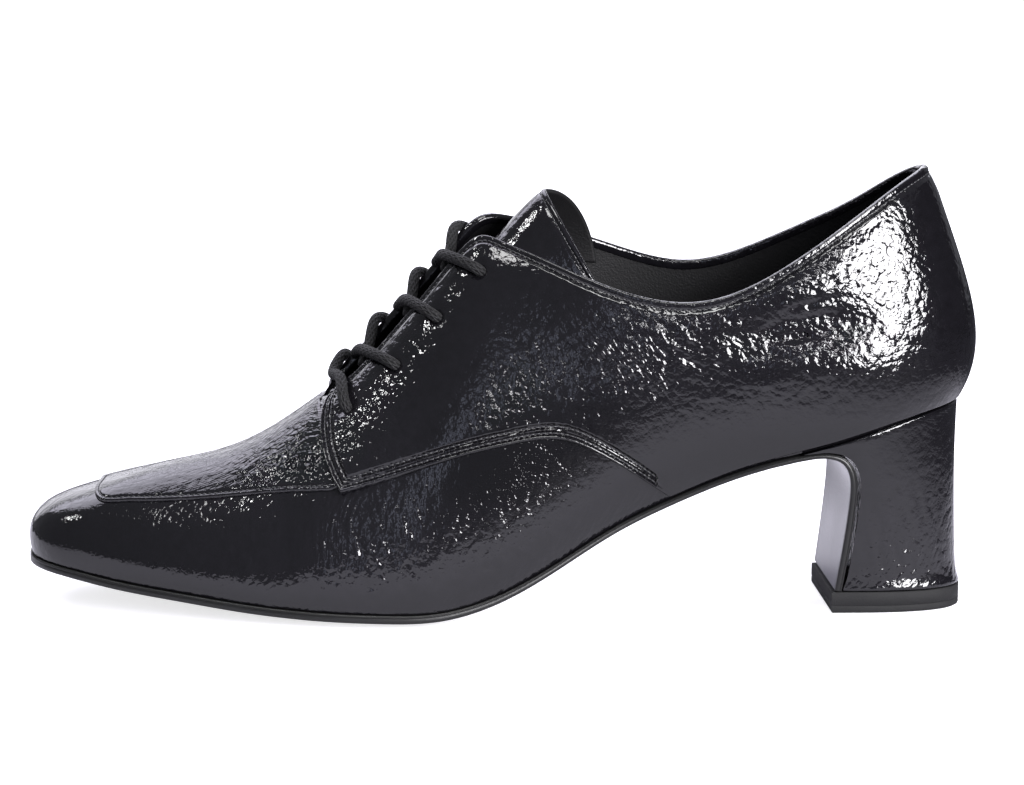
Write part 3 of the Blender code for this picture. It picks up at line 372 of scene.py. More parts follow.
def edge_curve(outer_name, inner_name):
    """A top-edge column round the collar, from the outer throat over the heel to the inner throat."""
    rows = range(THROAT_ROW + 1)
    outer = [getattr(RIBS[row], outer_name) for row in reversed(rows)]
    inner = [getattr(RIBS[row], inner_name) for row in rows]
    knots = [KNOTS[row] for row in reversed(rows)] + [2.0 - KNOTS[row] for row in rows][1:]
    return spline(knots, outer + inner[1:])


def crest_curve(name):
    """A top column along the crest, from the outer throat round the toe to the inner throat."""
    rows = range(THROAT_ROW, len(RIBS))
    values = [getattr(RIBS[row], name) for row in rows]
    knots = [-KNOTS[row] for row in rows] + [KNOTS[row] for row in reversed(rows)][1:]
    return spline(knots, values + values[::-1][1:])


FOOT_X = both("foot_x")
FOOT_Y = around([rib.foot_out for rib in RIBS], [rib.foot_in for rib in RIBS])
FLARE, RISE = both("flare"), both("rise")
EDGE = [edge_curve("top_x", "top_x"), edge_curve("top_out", "top_in"),
        edge_curve("top_z_out", "top_z_in")]
CREST = [crest_curve("top_x"), crest_curve("top_out"), crest_curve("top_z_out")]
TOP_COLUMNS = {name: (edge_curve(name, name), crest_curve(name)) for name in ("drop", "reach", "fall")}


def top_value(curves, ring):
    """A top column at the ring places: the collar's curve behind the throat, the crest's before it."""
    edge, crest = curves
    behind = np.where(ring >= 0.0, ring, 2.0 + ring)
    return np.where(np.abs(ring) > THROAT, edge(behind), crest(ring))


def outward(ring):
    """The level direction straight out of the foot outline."""
    along_x = FOOT_X(ring + SMALL_STEP) - FOOT_X(ring - SMALL_STEP)
    along_y = FOOT_Y(ring + SMALL_STEP) - FOOT_Y(ring - SMALL_STEP)
    size = np.hypot(along_x, along_y)
    return along_y / size, -along_x / size


def last_point(ring, up):
    """A point on the outside of the upper; ring is + on the outer side, up runs from sole to top."""
    ring, up = np.broadcast_arrays(np.asarray(ring, float), np.asarray(up, float))
    foot = np.stack([FOOT_X(ring), FOOT_Y(ring), FEATHER_LINE(FOOT_X(ring))], axis=-1)
    out_x, out_y = outward(ring)
    level = np.stack([out_x, out_y, np.zeros_like(out_x)], axis=-1)
    upright = np.array([0.0, 0.0, 1.0])
    flare = np.radians(FLARE(ring))[..., None]
    leave = foot + RISE(ring)[..., None] * (np.sin(flare) * level + np.cos(flare) * upright)
    top = np.stack([top_value((EDGE[i], CREST[i]), ring) for i in range(3)], axis=-1)
    drop = np.radians(top_value(TOP_COLUMNS["drop"], ring))[..., None]
    reach = top_value(TOP_COLUMNS["reach"], ring)[..., None]
    fall = top_value(TOP_COLUMNS["fall"], ring)
    sloped = level + (fall * out_x)[..., None] * upright
    arrive = top + reach * (np.cos(drop) * sloped - np.sin(drop) * upright)
    t = up[..., None]
    rest = 1.0 - t
    return rest ** 3 * foot + 3 * rest ** 2 * t * leave + 3 * rest * t ** 2 * arrive + t ** 3 * top


def unit(vectors):
    """The same directions, one long."""
    return vectors / np.maximum(np.linalg.norm(vectors, axis=-1, keepdims=True), 1e-9)


def last_normal(ring, up):
    """The outward normal of the upper, read just below its top edge where the ribs run together."""
    step = NORMAL_STEP
    up = np.clip(up, step, NORMAL_TOP)
    along = last_point(ring + step, up) - last_point(ring - step, up)
    climb = last_point(ring, up + step) - last_point(ring, up - step)
    return unit(np.cross(along, climb))


def last_offset(ring, up, height):
    """A point the given height outside the upper, along its normal; near the crest both sides' mix."""
    ring, up = np.broadcast_arrays(np.asarray(ring, float), np.asarray(up, float))
    normal = last_normal(ring, up)
    start, over = CREST_MIX
    share = np.clip((up - start) / over, 0.0, 1.0) * (np.abs(ring) <= THROAT + 1e-9)
    normal = unit(normal + share[..., None] * last_normal(-ring, up))
    return last_point(ring, up) + np.asarray(height)[..., None] * normal


def locate(target, axes, start):
    """The ring and up values where the upper has the target's two coordinates."""
    ring, up = start
    axes = list(axes)
    for _ in range(SEARCH_TURNS):
        here = last_point(ring, up)[axes]
        miss = np.asarray(target) - here
        if np.abs(miss).max() < SEARCH_MISS:
            break
        by_ring = (last_point(ring + SMALL_STEP, up)[axes] - here) / SMALL_STEP
        by_up = (last_point(ring, up + SMALL_STEP)[axes] - here) / SMALL_STEP
        move = np.linalg.solve(np.stack([by_ring, by_up], axis=1), miss)
        move = np.clip(move, -SEARCH_STRIDE, SEARCH_STRIDE)
        ring = ring + move[0]
        up = min(max(up + move[1], 0.0), 1.0)
    return ring, up


def trace(targets, axes, start):
    """The ring and up values of targets along a line; each search starts where the one before ended."""
    found = []
    for target in targets:
        start = locate(target, axes, start)
        found.append(start)
    return np.array(found)


def ring_at(rib):
    """The ring place of a rib, counted from the heel's back; between two ribs for a part number."""
    return np.interp(rib, np.arange(len(RIBS)), KNOTS)


def rib_at(ring):
    """The rib number of a ring place."""
    return np.interp(np.abs(ring), KNOTS[::-1], np.arange(len(RIBS))[::-1])


def rib_over(x):
    """The rib number whose foot stands at a place along the shoe."""
    return float(np.interp(x, [rib.foot_x for rib in RIBS], range(len(RIBS))))


def foot_edge(rib, side, margin):
    """A point of the foot outline in plan, moved out by the margin."""
    ring = side * ring_at(rib)
    out_x, out_y = outward(ring)
    return np.stack([FOOT_X(ring) + margin * out_x, FOOT_Y(ring) + margin * out_y], axis=-1)


def table_curve(rows):
    """A straight-line reading of a two-column table."""
    places, values = zip(*rows)
    return lambda at: np.interp(at, places, values)


def on_curve(points, steps):
    """Places on a smooth curve through the points; a step of 1 is one row of the table."""
    points = np.asarray(points, float)
    knots = np.arange(len(points))
    return np.stack([spline(knots, column)(steps) for column in points.T], axis=1)


def column_curves(rows):
    """A smooth curve through each column of a table; a step of 1 is one row."""
    return {name: spline(range(len(rows)), [getattr(row, name) for row in rows])
            for name in rows[0]._fields}


def walked(grid, axis):
    """How far each point of a grid lies from the start of its line, along the axis."""
    step = np.linalg.norm(np.diff(grid, axis=axis), axis=-1)
    start = np.zeros_like(np.take(step, [0], axis=axis))
    return np.concatenate([start, np.cumsum(step, axis=axis)], axis=axis)


def rolled(distance, radius):
    """Height share of a rolled edge: 0 at the edge, 1 past the radius."""
    inside = np.clip(distance / radius, 0.0, 1.0)
    return np.sqrt(1.0 - (1.0 - inside) ** 2)


def eased(value, start, end):
    """A soft step from 0 at start to 1 at end."""
    share = np.clip((value - start) / (end - start), 0.0, 1.0)
    return share * share * (3.0 - 2.0 * share)


def crease_lift(points, creases):
    """How far the creases lift or sink each point: a soft trough with a low ridge on each side.

    On the inner side they lie a little elsewhere.
    """
    shift = np.where(points[..., 1] < 0.0, INNER_CREASE_SHIFT, 0.0)
    seen = np.stack([points[..., 0] + shift, points[..., 2]], axis=-1)
    total = np.zeros(points.shape[:-1])
    for crease in creases:
        start = np.array([crease.x0, crease.z0])
        way = np.array([crease.x1, crease.z1]) - start
        length = np.linalg.norm(way)
        from_start = seen - start
        share = from_start @ way / length ** 2
        off = (from_start[..., 0] * way[1] - from_start[..., 1] * way[0]) / length
        off = (off - crease.bow * 4.0 * share * (1.0 - share)) / crease.width
        fade = np.clip(4.0 * share * (1.0 - share), 0.0, 1.0)
        trough = np.exp(-off ** 2)
        ridges = np.exp(-(off - RIDGE_OFF) ** 2) + np.exp(-(off + RIDGE_OFF) ** 2)
        total += crease.depth * fade * (RIDGE_SHARE * ridges - trough)
    return total


def stitch_dip(distance):
    """How far a row of stitches draws the leather in, at a distance from the row."""
    return STITCH_DIP * np.exp(-(distance / STITCH_SPREAD) ** 2)


def crinkle_at(points):
    """How strongly the patent is crinkled at each point."""
    amount = np.full(points.shape[:-1], CRINKLE_BASE)
    for patch in PATCHES:
        along = (points[..., 0] - patch.x) / patch.along
        up = (points[..., 2] - patch.z) / patch.up
        amount += patch.amount * np.exp(-(along ** 2 + up ** 2))
    return np.clip(amount, 0.0, 1.0)


def grid_faces(columns, rows, closed):
    """Four-cornered faces of a grid whose points run row by row inside each column."""
    column = np.arange(columns if closed else columns - 1)
    after = (column + 1) % columns
    row = np.arange(rows - 1)
    near = column[:, None] * rows + row
    far = after[:, None] * rows + row
    return np.stack([near, far, far + 1, near + 1], axis=-1).reshape(-1, 4)


def finish_mesh(name, points, faces, kinds, uv, fields):
    """A merged, smooth mesh in metres with outward faces, a surface UV map and fields for materials."""
    mesh = bpy.data.meshes.new(name)
    mesh.from_pydata((np.asarray(points) * MM).tolist(), [], faces)
    mesh.polygons.foreach_set("material_index", np.asarray(kinds, np.int32))
    corner = np.zeros(len(mesh.loops), np.int32)
    mesh.loops.foreach_get("vertex_index", corner)
    layer = mesh.uv_layers.new(name="surface")
    layer.data.foreach_set("uv", np.ascontiguousarray((uv * MM)[corner], np.float32).ravel())
    for field, values in fields.items():
        numbers = mesh.attributes.new(field, "FLOAT", "POINT")
        numbers.data.foreach_set("value", np.ascontiguousarray(values, np.float32).ravel())
    bm = bmesh.new()
    bm.from_mesh(mesh)
    bmesh.ops.remove_doubles(bm, verts=bm.verts, dist=MERGED * MM)
    bmesh.ops.dissolve_degenerate(bm, edges=bm.edges, dist=SLIVER * MM)
    bmesh.ops.recalc_face_normals(bm, faces=bm.faces)
    bm.to_mesh(mesh)
    bm.free()
    mesh.shade_smooth()
    mesh.set_sharp_from_angle(angle=math.radians(SHARP_ANGLE))
    return mesh


def sheet_mesh(name, skin, back, closed=False, fields=None, rim=None):
    """A closed wall between two matching grids, in millimetres, joined round their borders.

    rim tells at which steps the last row is a border; elsewhere the two halves meet there.
    """
    columns, rows = skin.shape[:2]
    count = columns * rows
    outside = grid_faces(columns, rows, closed)
    index = np.arange(count).reshape(columns, rows)
    borders = [index[:, 0], index[:, -1]]
    if closed:
        borders = [np.append(line, line[0]) for line in borders]
    else:
        borders += [index[0], index[-1]]
    rims = [np.stack([line[:-1], line[1:], line[1:] + count, line[:-1] + count], axis=1)
            for line in borders]
    if rim is not None:
        rims[1] = rims[1][rim]
    faces = [outside, outside[:, ::-1] + count] + rims
    kinds = np.concatenate([np.full(len(part), int(place == 1)) for place, part in enumerate(faces)])
    uv = np.stack([walked(skin, 0), walked(skin, 1)], axis=-1).reshape(-1, 2)
    values = {key: np.tile(np.asarray(field).ravel(), 2) for key, field in (fields or {}).items()}
    points = np.concatenate([skin.reshape(-1, 3), back.reshape(-1, 3)])
    return finish_mesh(name, points, np.concatenate(faces).tolist(), kinds, np.tile(uv, (2, 1)), values)


def tube_mesh(name, loops, fields=None):
    """A closed body through matching loops of points, in millimetres, capped at both ends."""
    stations, count = loops.shape[:2]
    turned = loops.transpose(1, 0, 2)
    faces = grid_faces(count, stations, closed=True)
    index = np.arange(count * stations).reshape(count, stations)
    caps = [index[:, 0].tolist(), index[::-1, -1].tolist()]
    kinds = np.zeros(len(faces) + len(caps), int)
    uv = np.stack([walked(turned, 0), walked(turned, 1)], axis=-1).reshape(-1, 2)
    values = {key: field.T.ravel() for key, field in (fields or {}).items()}
    return finish_mesh(name, turned.reshape(-1, 3), faces.tolist() + caps, kinds, uv, values)


def new_object(name, data):
    """An object with the data, put in the scene."""
    made = bpy.data.objects.new(name, data)
    bpy.context.scene.collection.objects.link(made)
    return made


def add_piece(mesh, materials, nodes=()):
    """Puts a mesh in the scene as a piece on the shoe's body, in the place of its solids."""
    for material in materials:
        mesh.materials.append(material)
    piece = new_object(mesh.name, mesh)
    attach(piece, BODY)
    if nodes:
        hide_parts(*nodes)


def shares(count, start=(), end=()):
    """Even shares from 0 to 1, with finer ones added at the start and at the end."""
    even = np.linspace(0.0, 1.0, count)
    extra = [np.asarray(start, float), 1.0 - np.asarray(end, float)]
    return np.unique(np.round(np.concatenate([even, *extra]), 6))


def edge_shares(count, length):
    """Even shares of a length, with the edge steps added at both ends."""
    return shares(count, start=EDGE_STEPS / length, end=EDGE_STEPS / length)


@lru_cache(maxsize=None)
def upper_places():
    """Ring and up places of the whole upper, from the heel's back round the toe."""
    ring = np.linspace(1.0, -1.0, UPPER_COLUMNS, endpoint=False)
    return np.broadcast_arrays(ring[:, None], np.linspace(0.0, 1.0, UPPER_ROWS)[None, :])


def open_steps(ring):
    """Which steps round the upper have an open top edge; before the throat the sides meet."""
    behind = np.abs(np.append(ring, ring[0])) > THROAT + 1e-6
    return behind[:-1] | behind[1:]


def vamp_mesh(crease):
    """The upper's patent leather, creased where the foot bends."""
    ring, up = upper_places()
    place = last_point(ring, up)
    lift = crease * crease_lift(place, VAMP_CREASES)
    skin = last_offset(ring, up, lift)
    back = last_offset(ring, up, -LEATHER)
    fields = {"crinkle": crinkle_at(place)}
    return sheet_mesh("vamp_leather", skin, back, closed=True, fields=fields, rim=open_steps(ring[:, 0]))


def lining_mesh():
    """The lining inside the upper."""
    ring, up = upper_places()
    ring, up = ring[::2], up[::2]
    outside = last_offset(ring, up, -LEATHER - LINING_GAP)
    inside = last_offset(ring, up, -WALL)
    return sheet_mesh("lining_leather", outside, inside, closed=True, rim=open_steps(ring[:, 0]))


@lru_cache(maxsize=None)
def quarter_seam(side):
    """The quarter's lower seam as rib numbers and up places, from the sole to the front corner."""
    line = on_curve(QUARTER_SEAM, np.linspace(0.0, len(QUARTER_SEAM) - 1.0, SEAM_POINTS))
    ring, up = trace(line, SIDE_VIEW, (side * ring_at(QUARTER_SEAM_RIB), QUARTER_FOOT)).T
    return rib_at(ring), up


@lru_cache(maxsize=None)
def eyelet_places(side):
    """Ring and up places of one facing's eyelets, from the throat up."""
    rib, up = EYELET_START
    return trace(EYELETS_OUT if side > 0 else EYELETS_IN, SIDE_VIEW, (side * ring_at(rib), up))


def quarter_places(side):
    """Ring and up places of one quarter, heel to front and sole to topline, and the rib of each line."""
    seam_rib, seam_up = quarter_seam(side)
    front_ring = ring_at(seam_rib[-1])
    along = edge_shares(QUARTER_COLUMNS, QUARTER_LENGTH)
    climb = edge_shares(QUARTER_ROWS, QUARTER_HEIGHT)
    low_ring = (1.0 - PARTING / RING_LENGTH) * (1.0 - along) + front_ring * along
    rib = rib_at(low_ring)
    low_up = np.maximum(np.interp(rib, seam_rib, seam_up, left=0.0), QUARTER_FOOT)
    ease = np.clip((rib - FACING_RIB) / (seam_rib[-1] - FACING_RIB), 0.0, 1.0)
    high_ring = ring_at(rib + (QUARTER_TOP_RIB - seam_rib[-1]) * ease)
    high_ring[0] = low_ring[0]
    swell = np.clip(6.0 * rib / seam_rib[-1] - 5.0, 0.0, 1.0) ** 2
    ring = low_ring[:, None] * (1.0 - climb) + high_ring[:, None] * climb
    ring = side * (ring - swell[:, None] * QUARTER_BULGE * 4.0 * climb * (1.0 - climb))
    up = low_up[:, None] * (1.0 - climb) + climb
    return ring, up, rib


Quarter = namedtuple("Quarter", "skin back normal ring rib sewn "
                                "from_low from_top from_front from_back from_seam")


@lru_cache(maxsize=None)
def quarter_grid(side, leather, roll, crease):
    """One quarter: its skin and back without the folded edge, and how far each point is from each edge."""
    ring, up, rib = quarter_places(side)
    place = last_point(ring, up)
    from_low = walked(place, 1)
    from_top = from_low[:, -1:] - from_low
    from_back = walked(place, 0)
    from_front = from_back[-1:] - from_back
    from_seam = np.minimum(from_low, from_front)
    sewn = eased(rib, QUARTER_SEAM_RIB - SEAM_START, QUARTER_SEAM_RIB + SEAM_START)[:, None]
    base = QUARTER_SEAT + QUARTER_FRONT_LIFT * (1.0 - eased(from_front, 0.0, QUARTER_FRONT_EASE))
    thick = leather * (1.0 - SKIVE * (1.0 - eased(from_top, 0.0, SKIVE_REACH)))
    height = base + thick * rolled(from_low, roll) * rolled(from_front, roll) * rolled(from_back, BACK_SEAM)
    for row in SEAM_ROWS:
        height -= stitch_dip(from_seam - row) * sewn * rolled(from_low, roll) * rolled(from_front, roll)
    height -= stitch_dip(from_top - TOP_ROW)
    for hole in eyelet_places(side):
        far = np.linalg.norm(place - last_point(*hole), axis=-1)
        height -= EYELET_DIP * np.exp(-(far / EYELET_RADIUS) ** 2)
    away = eased(from_low, *CREASE_FROM_LOW) * eased(from_top, *CREASE_FROM_TOP)
    height += crease * away * crease_lift(place, QUARTER_CREASES)
    skin = last_offset(ring, up, height)
    back = last_offset(ring, up, np.broadcast_to(base, height.shape))
    return Quarter(skin, back, last_normal(ring, up), ring, rib, sewn,
                   from_low, from_top, from_front, from_back, from_seam)


def folded_edge(grid, leather, roll):
    """Rows that carry a quarter's top edge over the upper's rim and down inside: skin and back."""
    ring = grid.ring[:, -1]
    top = last_point(ring, 1.0)
    normal = last_normal(ring, np.ones_like(ring))
    climb = unit(top - last_point(ring, JUST_BELOW_TOP))
    low = np.sum((grid.back[:, -1] - top) * normal, axis=-1, keepdims=True)
    high = low + leather * (1.0 - SKIVE)
    inside = -WALL - LINING_GAP
    ends = rolled(grid.from_front[:, -1:], roll) * rolled(grid.from_back[:, -1:], BACK_SEAM)
    skins, backs = [], []
    for angle in np.radians(np.linspace(0.0, 180.0, FOLD_STEPS + 2)[1:-1]):
        over = (1.0 + math.cos(angle)) / 2.0
        rise = math.sin(angle)
        back = top + (low * over + inside * (1.0 - over)) * normal + FOLD_BACK_LIFT * rise * climb
        skin = top + (high * over + FOLD_INSIDE * (1.0 - over)) * normal + FOLD_LIFT * rise * climb
        skins.append(back + ends * (skin - back))
        backs.append(back)
    for down in FOLD_LEG:
        ending = rolled(FOLD_LEG[-1] - down, FOLD_END)
        back = top + inside * normal - down * climb
        skins.append(back + ends * ending * (FOLD_INSIDE - inside) * normal)
        backs.append(back)
    return np.stack(skins, axis=1), np.stack(backs, axis=1)


def quarter_mesh(name, side, leather, roll, crease):
    """A quarter's leather with its folded top edge."""
    grid = quarter_grid(side, leather, roll, crease)
    fold_skin, fold_back = folded_edge(grid, leather, roll)
    skin = np.concatenate([grid.skin, fold_skin], axis=1)
    back = np.concatenate([grid.back, fold_back], axis=1)
    pad = ((0, 0), (0, fold_skin.shape[1]))
    off_rows = np.abs(grid.from_seam[..., None] - np.array(SEAM_ROWS)).min(axis=-1)
    off_rows += NOT_SEWN * (1.0 - grid.sewn)
    off_top = TOP_PULL * (grid.from_top - TOP_ROW)
    fields = {"crinkle": crinkle_at(grid.skin), "off_row": np.minimum(off_rows, off_top)}
    fields = {key: np.pad(values, pad, mode="edge") for key, values in fields.items()}
    return sheet_mesh(name, skin, back, fields=fields)


@lru_cache(maxsize=None)
def apron_edge(side):
    """The apron's lower edge on one side as ring and up places, from the quarter to the toe."""
    rib, up = APRON_START
    line = on_curve(APRON_SIDE, np.arange(0.0, len(APRON_SIDE) - 0.99, 1.0 / APRON_FINE))
    beside = trace(line, SIDE_VIEW, (side * ring_at(rib), up))
    corner = [last_point(*beside[-1 - APRON_FINE])[:2], last_point(*beside[-1])[:2]]
    front = corner + [(row.x, row.out if side > 0 else row.inn) for row in APRON_FRONT]
    line = on_curve(front, np.arange(1.0, len(front) - 0.99, 1.0 / APRON_FINE))[1:]
    edge = np.abs(np.concatenate([beside, trace(line, PLAN, beside[-1])]))
    under = np.linspace(APRON_UNDER, 0.0, APRON_FINE, endpoint=False)
    rear = np.stack([edge[0, 0] + under, np.full_like(under, edge[0, 1])], axis=1)
    return np.concatenate([rear, edge])


Apron = namedtuple("Apron", "skin back normal place from_edge from_rear")


@lru_cache(maxsize=None)
def apron_grid(leather, roll):
    """The apron from the inner rear corner round the toe to the outer one, edge to crest."""
    outer, inner = apron_edge(1), apron_edge(-1)
    climb = shares(APRON_LINES, start=EDGE_STEPS / APRON_HALF)
    crest = (outer[:, 0] + inner[:, 0]) / 2.0
    turn = 3 * APRON_FINE
    crest[:turn] = np.linspace(ring_at(APRON_BACK_RIB), crest[turn - 1], turn)
    rings, ups = [], []
    for side, low in ((-1, inner), (1, outer)):
        ring = side * (low[:, :1] * (1.0 - climb) + crest[:, None] * climb)
        up = low[:, 1:] * (1.0 - climb) + climb
        rings.append(ring if side < 0 else ring[::-1][1:])
        ups.append(up if side < 0 else up[::-1][1:])
    ring, up = np.concatenate(rings), np.concatenate(ups)
    place = last_point(ring, up)
    from_edge = walked(place, 1)
    along = walked(place, 0)
    from_rear = np.minimum(along, along[-1:] - along)
    height = APRON_SEAT + leather * rolled(from_edge, roll) * eased(from_rear, 0.0, APRON_REAR_EASE)
    height -= stitch_dip(from_edge - APRON_ROW) * rolled(from_edge, roll)
    skin = last_offset(ring, up, height)
    back = last_offset(ring, up, np.full_like(height, APRON_SEAT))
    return Apron(skin, back, last_normal(ring, up), place, from_edge, from_rear)


def apron_mesh(leather, roll):
    """The apron's leather; its two halves join along the crest."""
    grid = apron_grid(leather, roll)
    fields = {"crinkle": crinkle_at(grid.place)}
    joined = np.zeros(len(grid.skin) - 1, bool)
    return sheet_mesh("apron_leather", grid.skin, grid.back, fields=fields, rim=joined)


TongueGrid = namedtuple("TongueGrid", "skin back normal from_side from_top")


@lru_cache(maxsize=None)
def tongue_grid():
    """The tongue from the toe end up, inner edge to outer edge."""
    fine = (len(TONGUES) - 1.0) * edge_shares(TONGUE_LINES, TONGUE_LENGTH)
    read = {name: curve(fine)[:, None] for name, curve in column_curves(TONGUES).items()}
    span = math.radians(TONGUE_SPAN)
    turn = span * (2.0 * edge_shares(TONGUE_COLUMNS, TONGUE_BREADTH) - 1.0)
    swing = np.sin(turn) / math.sin(span)
    sag = (1.0 - np.cos(turn)) / (1.0 - math.cos(span))
    outer = turn > 0.0
    drop = np.where(outer, read["drop_out"], read["drop_in"]) * sag
    lean = np.where(outer[:, None], TONGUE_LEAN_OUT, TONGUE_LEAN_IN)
    half = np.where(outer, read["out"] - TONGUE_MIDDLE, TONGUE_MIDDLE - read["inn"])
    swept = np.where(outer, drop, read["drop_in"] * np.abs(swing))
    grid = np.stack([read["x"] + lean[:, 0] * swept, TONGUE_MIDDLE + half * swing,
                     read["z"] + lean[:, 1] * drop], axis=-1)
    normal = -unit(np.cross(np.gradient(grid, axis=0), np.gradient(grid, axis=1)))
    across = walked(grid, 1)
    from_side = np.minimum(across, across[:, -1:] - across)
    along = walked(grid, 0)
    from_top = along[-1:] - along
    thick = TONGUE / 2.0
    swell = thick * rolled(from_side, thick) * rolled(from_top, thick) * rolled(along, thick)
    dip = stitch_dip(np.minimum(from_side, from_top) - TONGUE_ROW)
    middle = grid - thick * normal
    skin = middle + (swell - dip * (swell > TONGUE_FULL))[..., None] * normal
    return TongueGrid(skin, middle - swell[..., None] * normal, normal, from_side, from_top)


def tongue_mesh():
    """The tongue's leather, evenly crinkled."""
    grid = tongue_grid()
    fields = {"crinkle": np.full(grid.from_side.shape, CRINKLE_BASE)}
    return sheet_mesh("tongue_leather", grid.skin, grid.back, fields=fields)


def cross_lines(ribs, margin):
    """Lines across the foot outline at the ribs, from the inner edge to the outer one, in plan."""
    outer = foot_edge(ribs, 1, margin)
    inner = foot_edge(ribs, -1, margin)
    share = ((ACROSS + 1.0) / 2.0)[None, :, None]
    return inner[:, None, :] * (1.0 - share) + outer[:, None, :] * share


def raised(plan, z):
    """Points in plan, set at the heights z."""
    return np.concatenate([plan, z[..., None]], axis=-1)


def belly_at(plan):
    """How far the sole bellies down inside its edge, dying out where the outline closes."""
    breadth = np.linalg.norm(plan[:, -1] - plan[:, 0], axis=-1)
    arch = (1.0 - ACROSS[None, :] ** 2) * np.clip(breadth / BELLY_BREADTH, 0.0, 1.0)[:, None]
    return table_curve(SOLE_BELLY)(plan[..., 0]) * arch


def slab_loops(lower, upper, profile):
    """Loops round a slab's cross sections: over its top, down one edge, back below and up the other."""
    across = upper[:, -1] - upper[:, 0]
    breadth = np.linalg.norm(across, axis=1)
    way = unit(across) * np.clip(breadth / EDGE_BREADTH, 0.0, 1.0)[:, None]
    outer = [upper[:, -1] * (1.0 - step.down) + lower[:, -1] * step.down + step.out * way
             for step in profile]
    inner = [upper[:, 0] * (1.0 - step.down) + lower[:, 0] * step.down - step.out * way
             for step in reversed(profile)]
    parts = [upper, np.stack(outer, axis=1), lower[:, ::-1], np.stack(inner, axis=1)]
    return np.concatenate(parts, axis=1)


def skew(y):
    """How far forward the heel's front lies at a breadth, past its outer corner."""
    return HEEL_SKEW * (TOP_PIECE_OUT - y)


def flap_path(stations):
    """The flap at the stations: its outer face in side view, the way in, its thickness and breadth."""
    read = column_curves(FLAP)
    step = FLAP_STEP
    way = np.stack([read["x"](stations + step) - read["x"](stations - step),
                    read["z"](stations + step) - read["z"](stations - step)], axis=1)
    way = unit(way)
    face = np.stack([read["x"](stations), read["z"](stations)], axis=1)
    inside = np.stack([way[:, 1], -way[:, 0]], axis=1)
    share = (ACROSS + 1.0) / 2.0
    breadth = read["inn"](stations)[:, None] * (1.0 - share) + read["out"](stations)[:, None] * share
    return face, inside, read["thick"](stations), breadth


def sole_mesh():
    """The sole with its rounded, grooved edge, and the flap down the front of the heel."""
    tip = 1.0 - np.linspace(1.0, 0.0, SOLE_STATIONS) ** 2
    ribs = (len(RIBS) - 1.0) * (1.0 - tip) + rib_over(WAIST_END) * tip
    plan = cross_lines(ribs, SOLE_MARGIN)
    seat = FEATHER_LINE(plan[..., 0]) - SOLE_GAP
    belly = belly_at(plan)
    thick = table_curve(SOLE_THICK)(plan[..., 0])
    lower = raised(plan, np.maximum(seat - thick - belly, 0.0))
    upper = raised(plan, seat - BELLY_INSIDE * belly)

    stations = np.linspace(0.0, len(FLAP) - 1.0, FLAP_STATIONS)
    face, inside, thick, breadth = flap_path(stations)
    flat = np.ones_like(breadth)
    turned = skew(breadth) * np.clip(np.linspace(0.0, FLAP_TURN, len(face)), 0.0, 1.0)[:, None]
    front = np.stack([face[:, :1] + turned, breadth, face[:, 1:] * flat], axis=-1)
    behind = face + inside * thick[:, None]
    back = np.stack([behind[:, :1] + turned, breadth, behind[:, 1:] * flat], axis=-1)
    loops = slab_loops(np.concatenate([lower, front]), np.concatenate([upper, back]), SOLE_EDGE)
    # Painted reflection: a field over the flap's face, fading at its rim and its first stations, where the
    # material paints the floor's sheen
    flap = np.concatenate([np.zeros(len(lower)), eased(stations, *FLAP_SHEEN_STATIONS)])
    sheen_across = np.zeros(loops.shape[1])
    first = ACROSS.size + len(SOLE_EDGE)
    sheen_across[first:first + ACROSS.size] = eased(1.0 - np.abs(ACROSS), *FLAP_SHEEN_RIM)
    return tube_mesh("sole_leather", loops, fields={"flap": flap[:, None] * sheen_across})


def insole_mesh():
    """The sock on which the foot stands."""
    ribs = np.linspace(len(RIBS) - 1.0, 0.0, SOLE_STATIONS)
    plan = cross_lines(ribs, -(WALL + FIT))
    low = FEATHER_LINE(plan[..., 0]) - SOLE_GAP + FIT - BELLY_INSIDE * belly_at(plan)
    loops = slab_loops(raised(plan, low), raised(plan, low + INSOLE), SOCK_EDGE)
    return tube_mesh("sock_lining", loops)


def top_piece_outline(count):
    """The heel's lower outline: share of its length from the back, and breadth, outer front first."""
    turn = np.linspace(0.0, math.pi, count)
    squareness = 2.0 / TOP_PIECE_SQUARE
    share = 1.0 - np.abs(np.sin(turn)) ** squareness
    swing = np.sign(np.cos(turn)) * np.abs(np.cos(turn)) ** squareness
    middle = (TOP_PIECE_OUT + TOP_PIECE_IN) / 2.0
    half = (TOP_PIECE_OUT - TOP_PIECE_IN) / 2.0
    return share, middle + half * swing


def inset(loops, amount):
    """Loops drawn in towards their middles, in plan."""
    towards = loops - loops.mean(axis=1, keepdims=True)
    towards[..., 2] = 0.0
    return loops - np.asarray(amount)[..., None] * unit(towards)


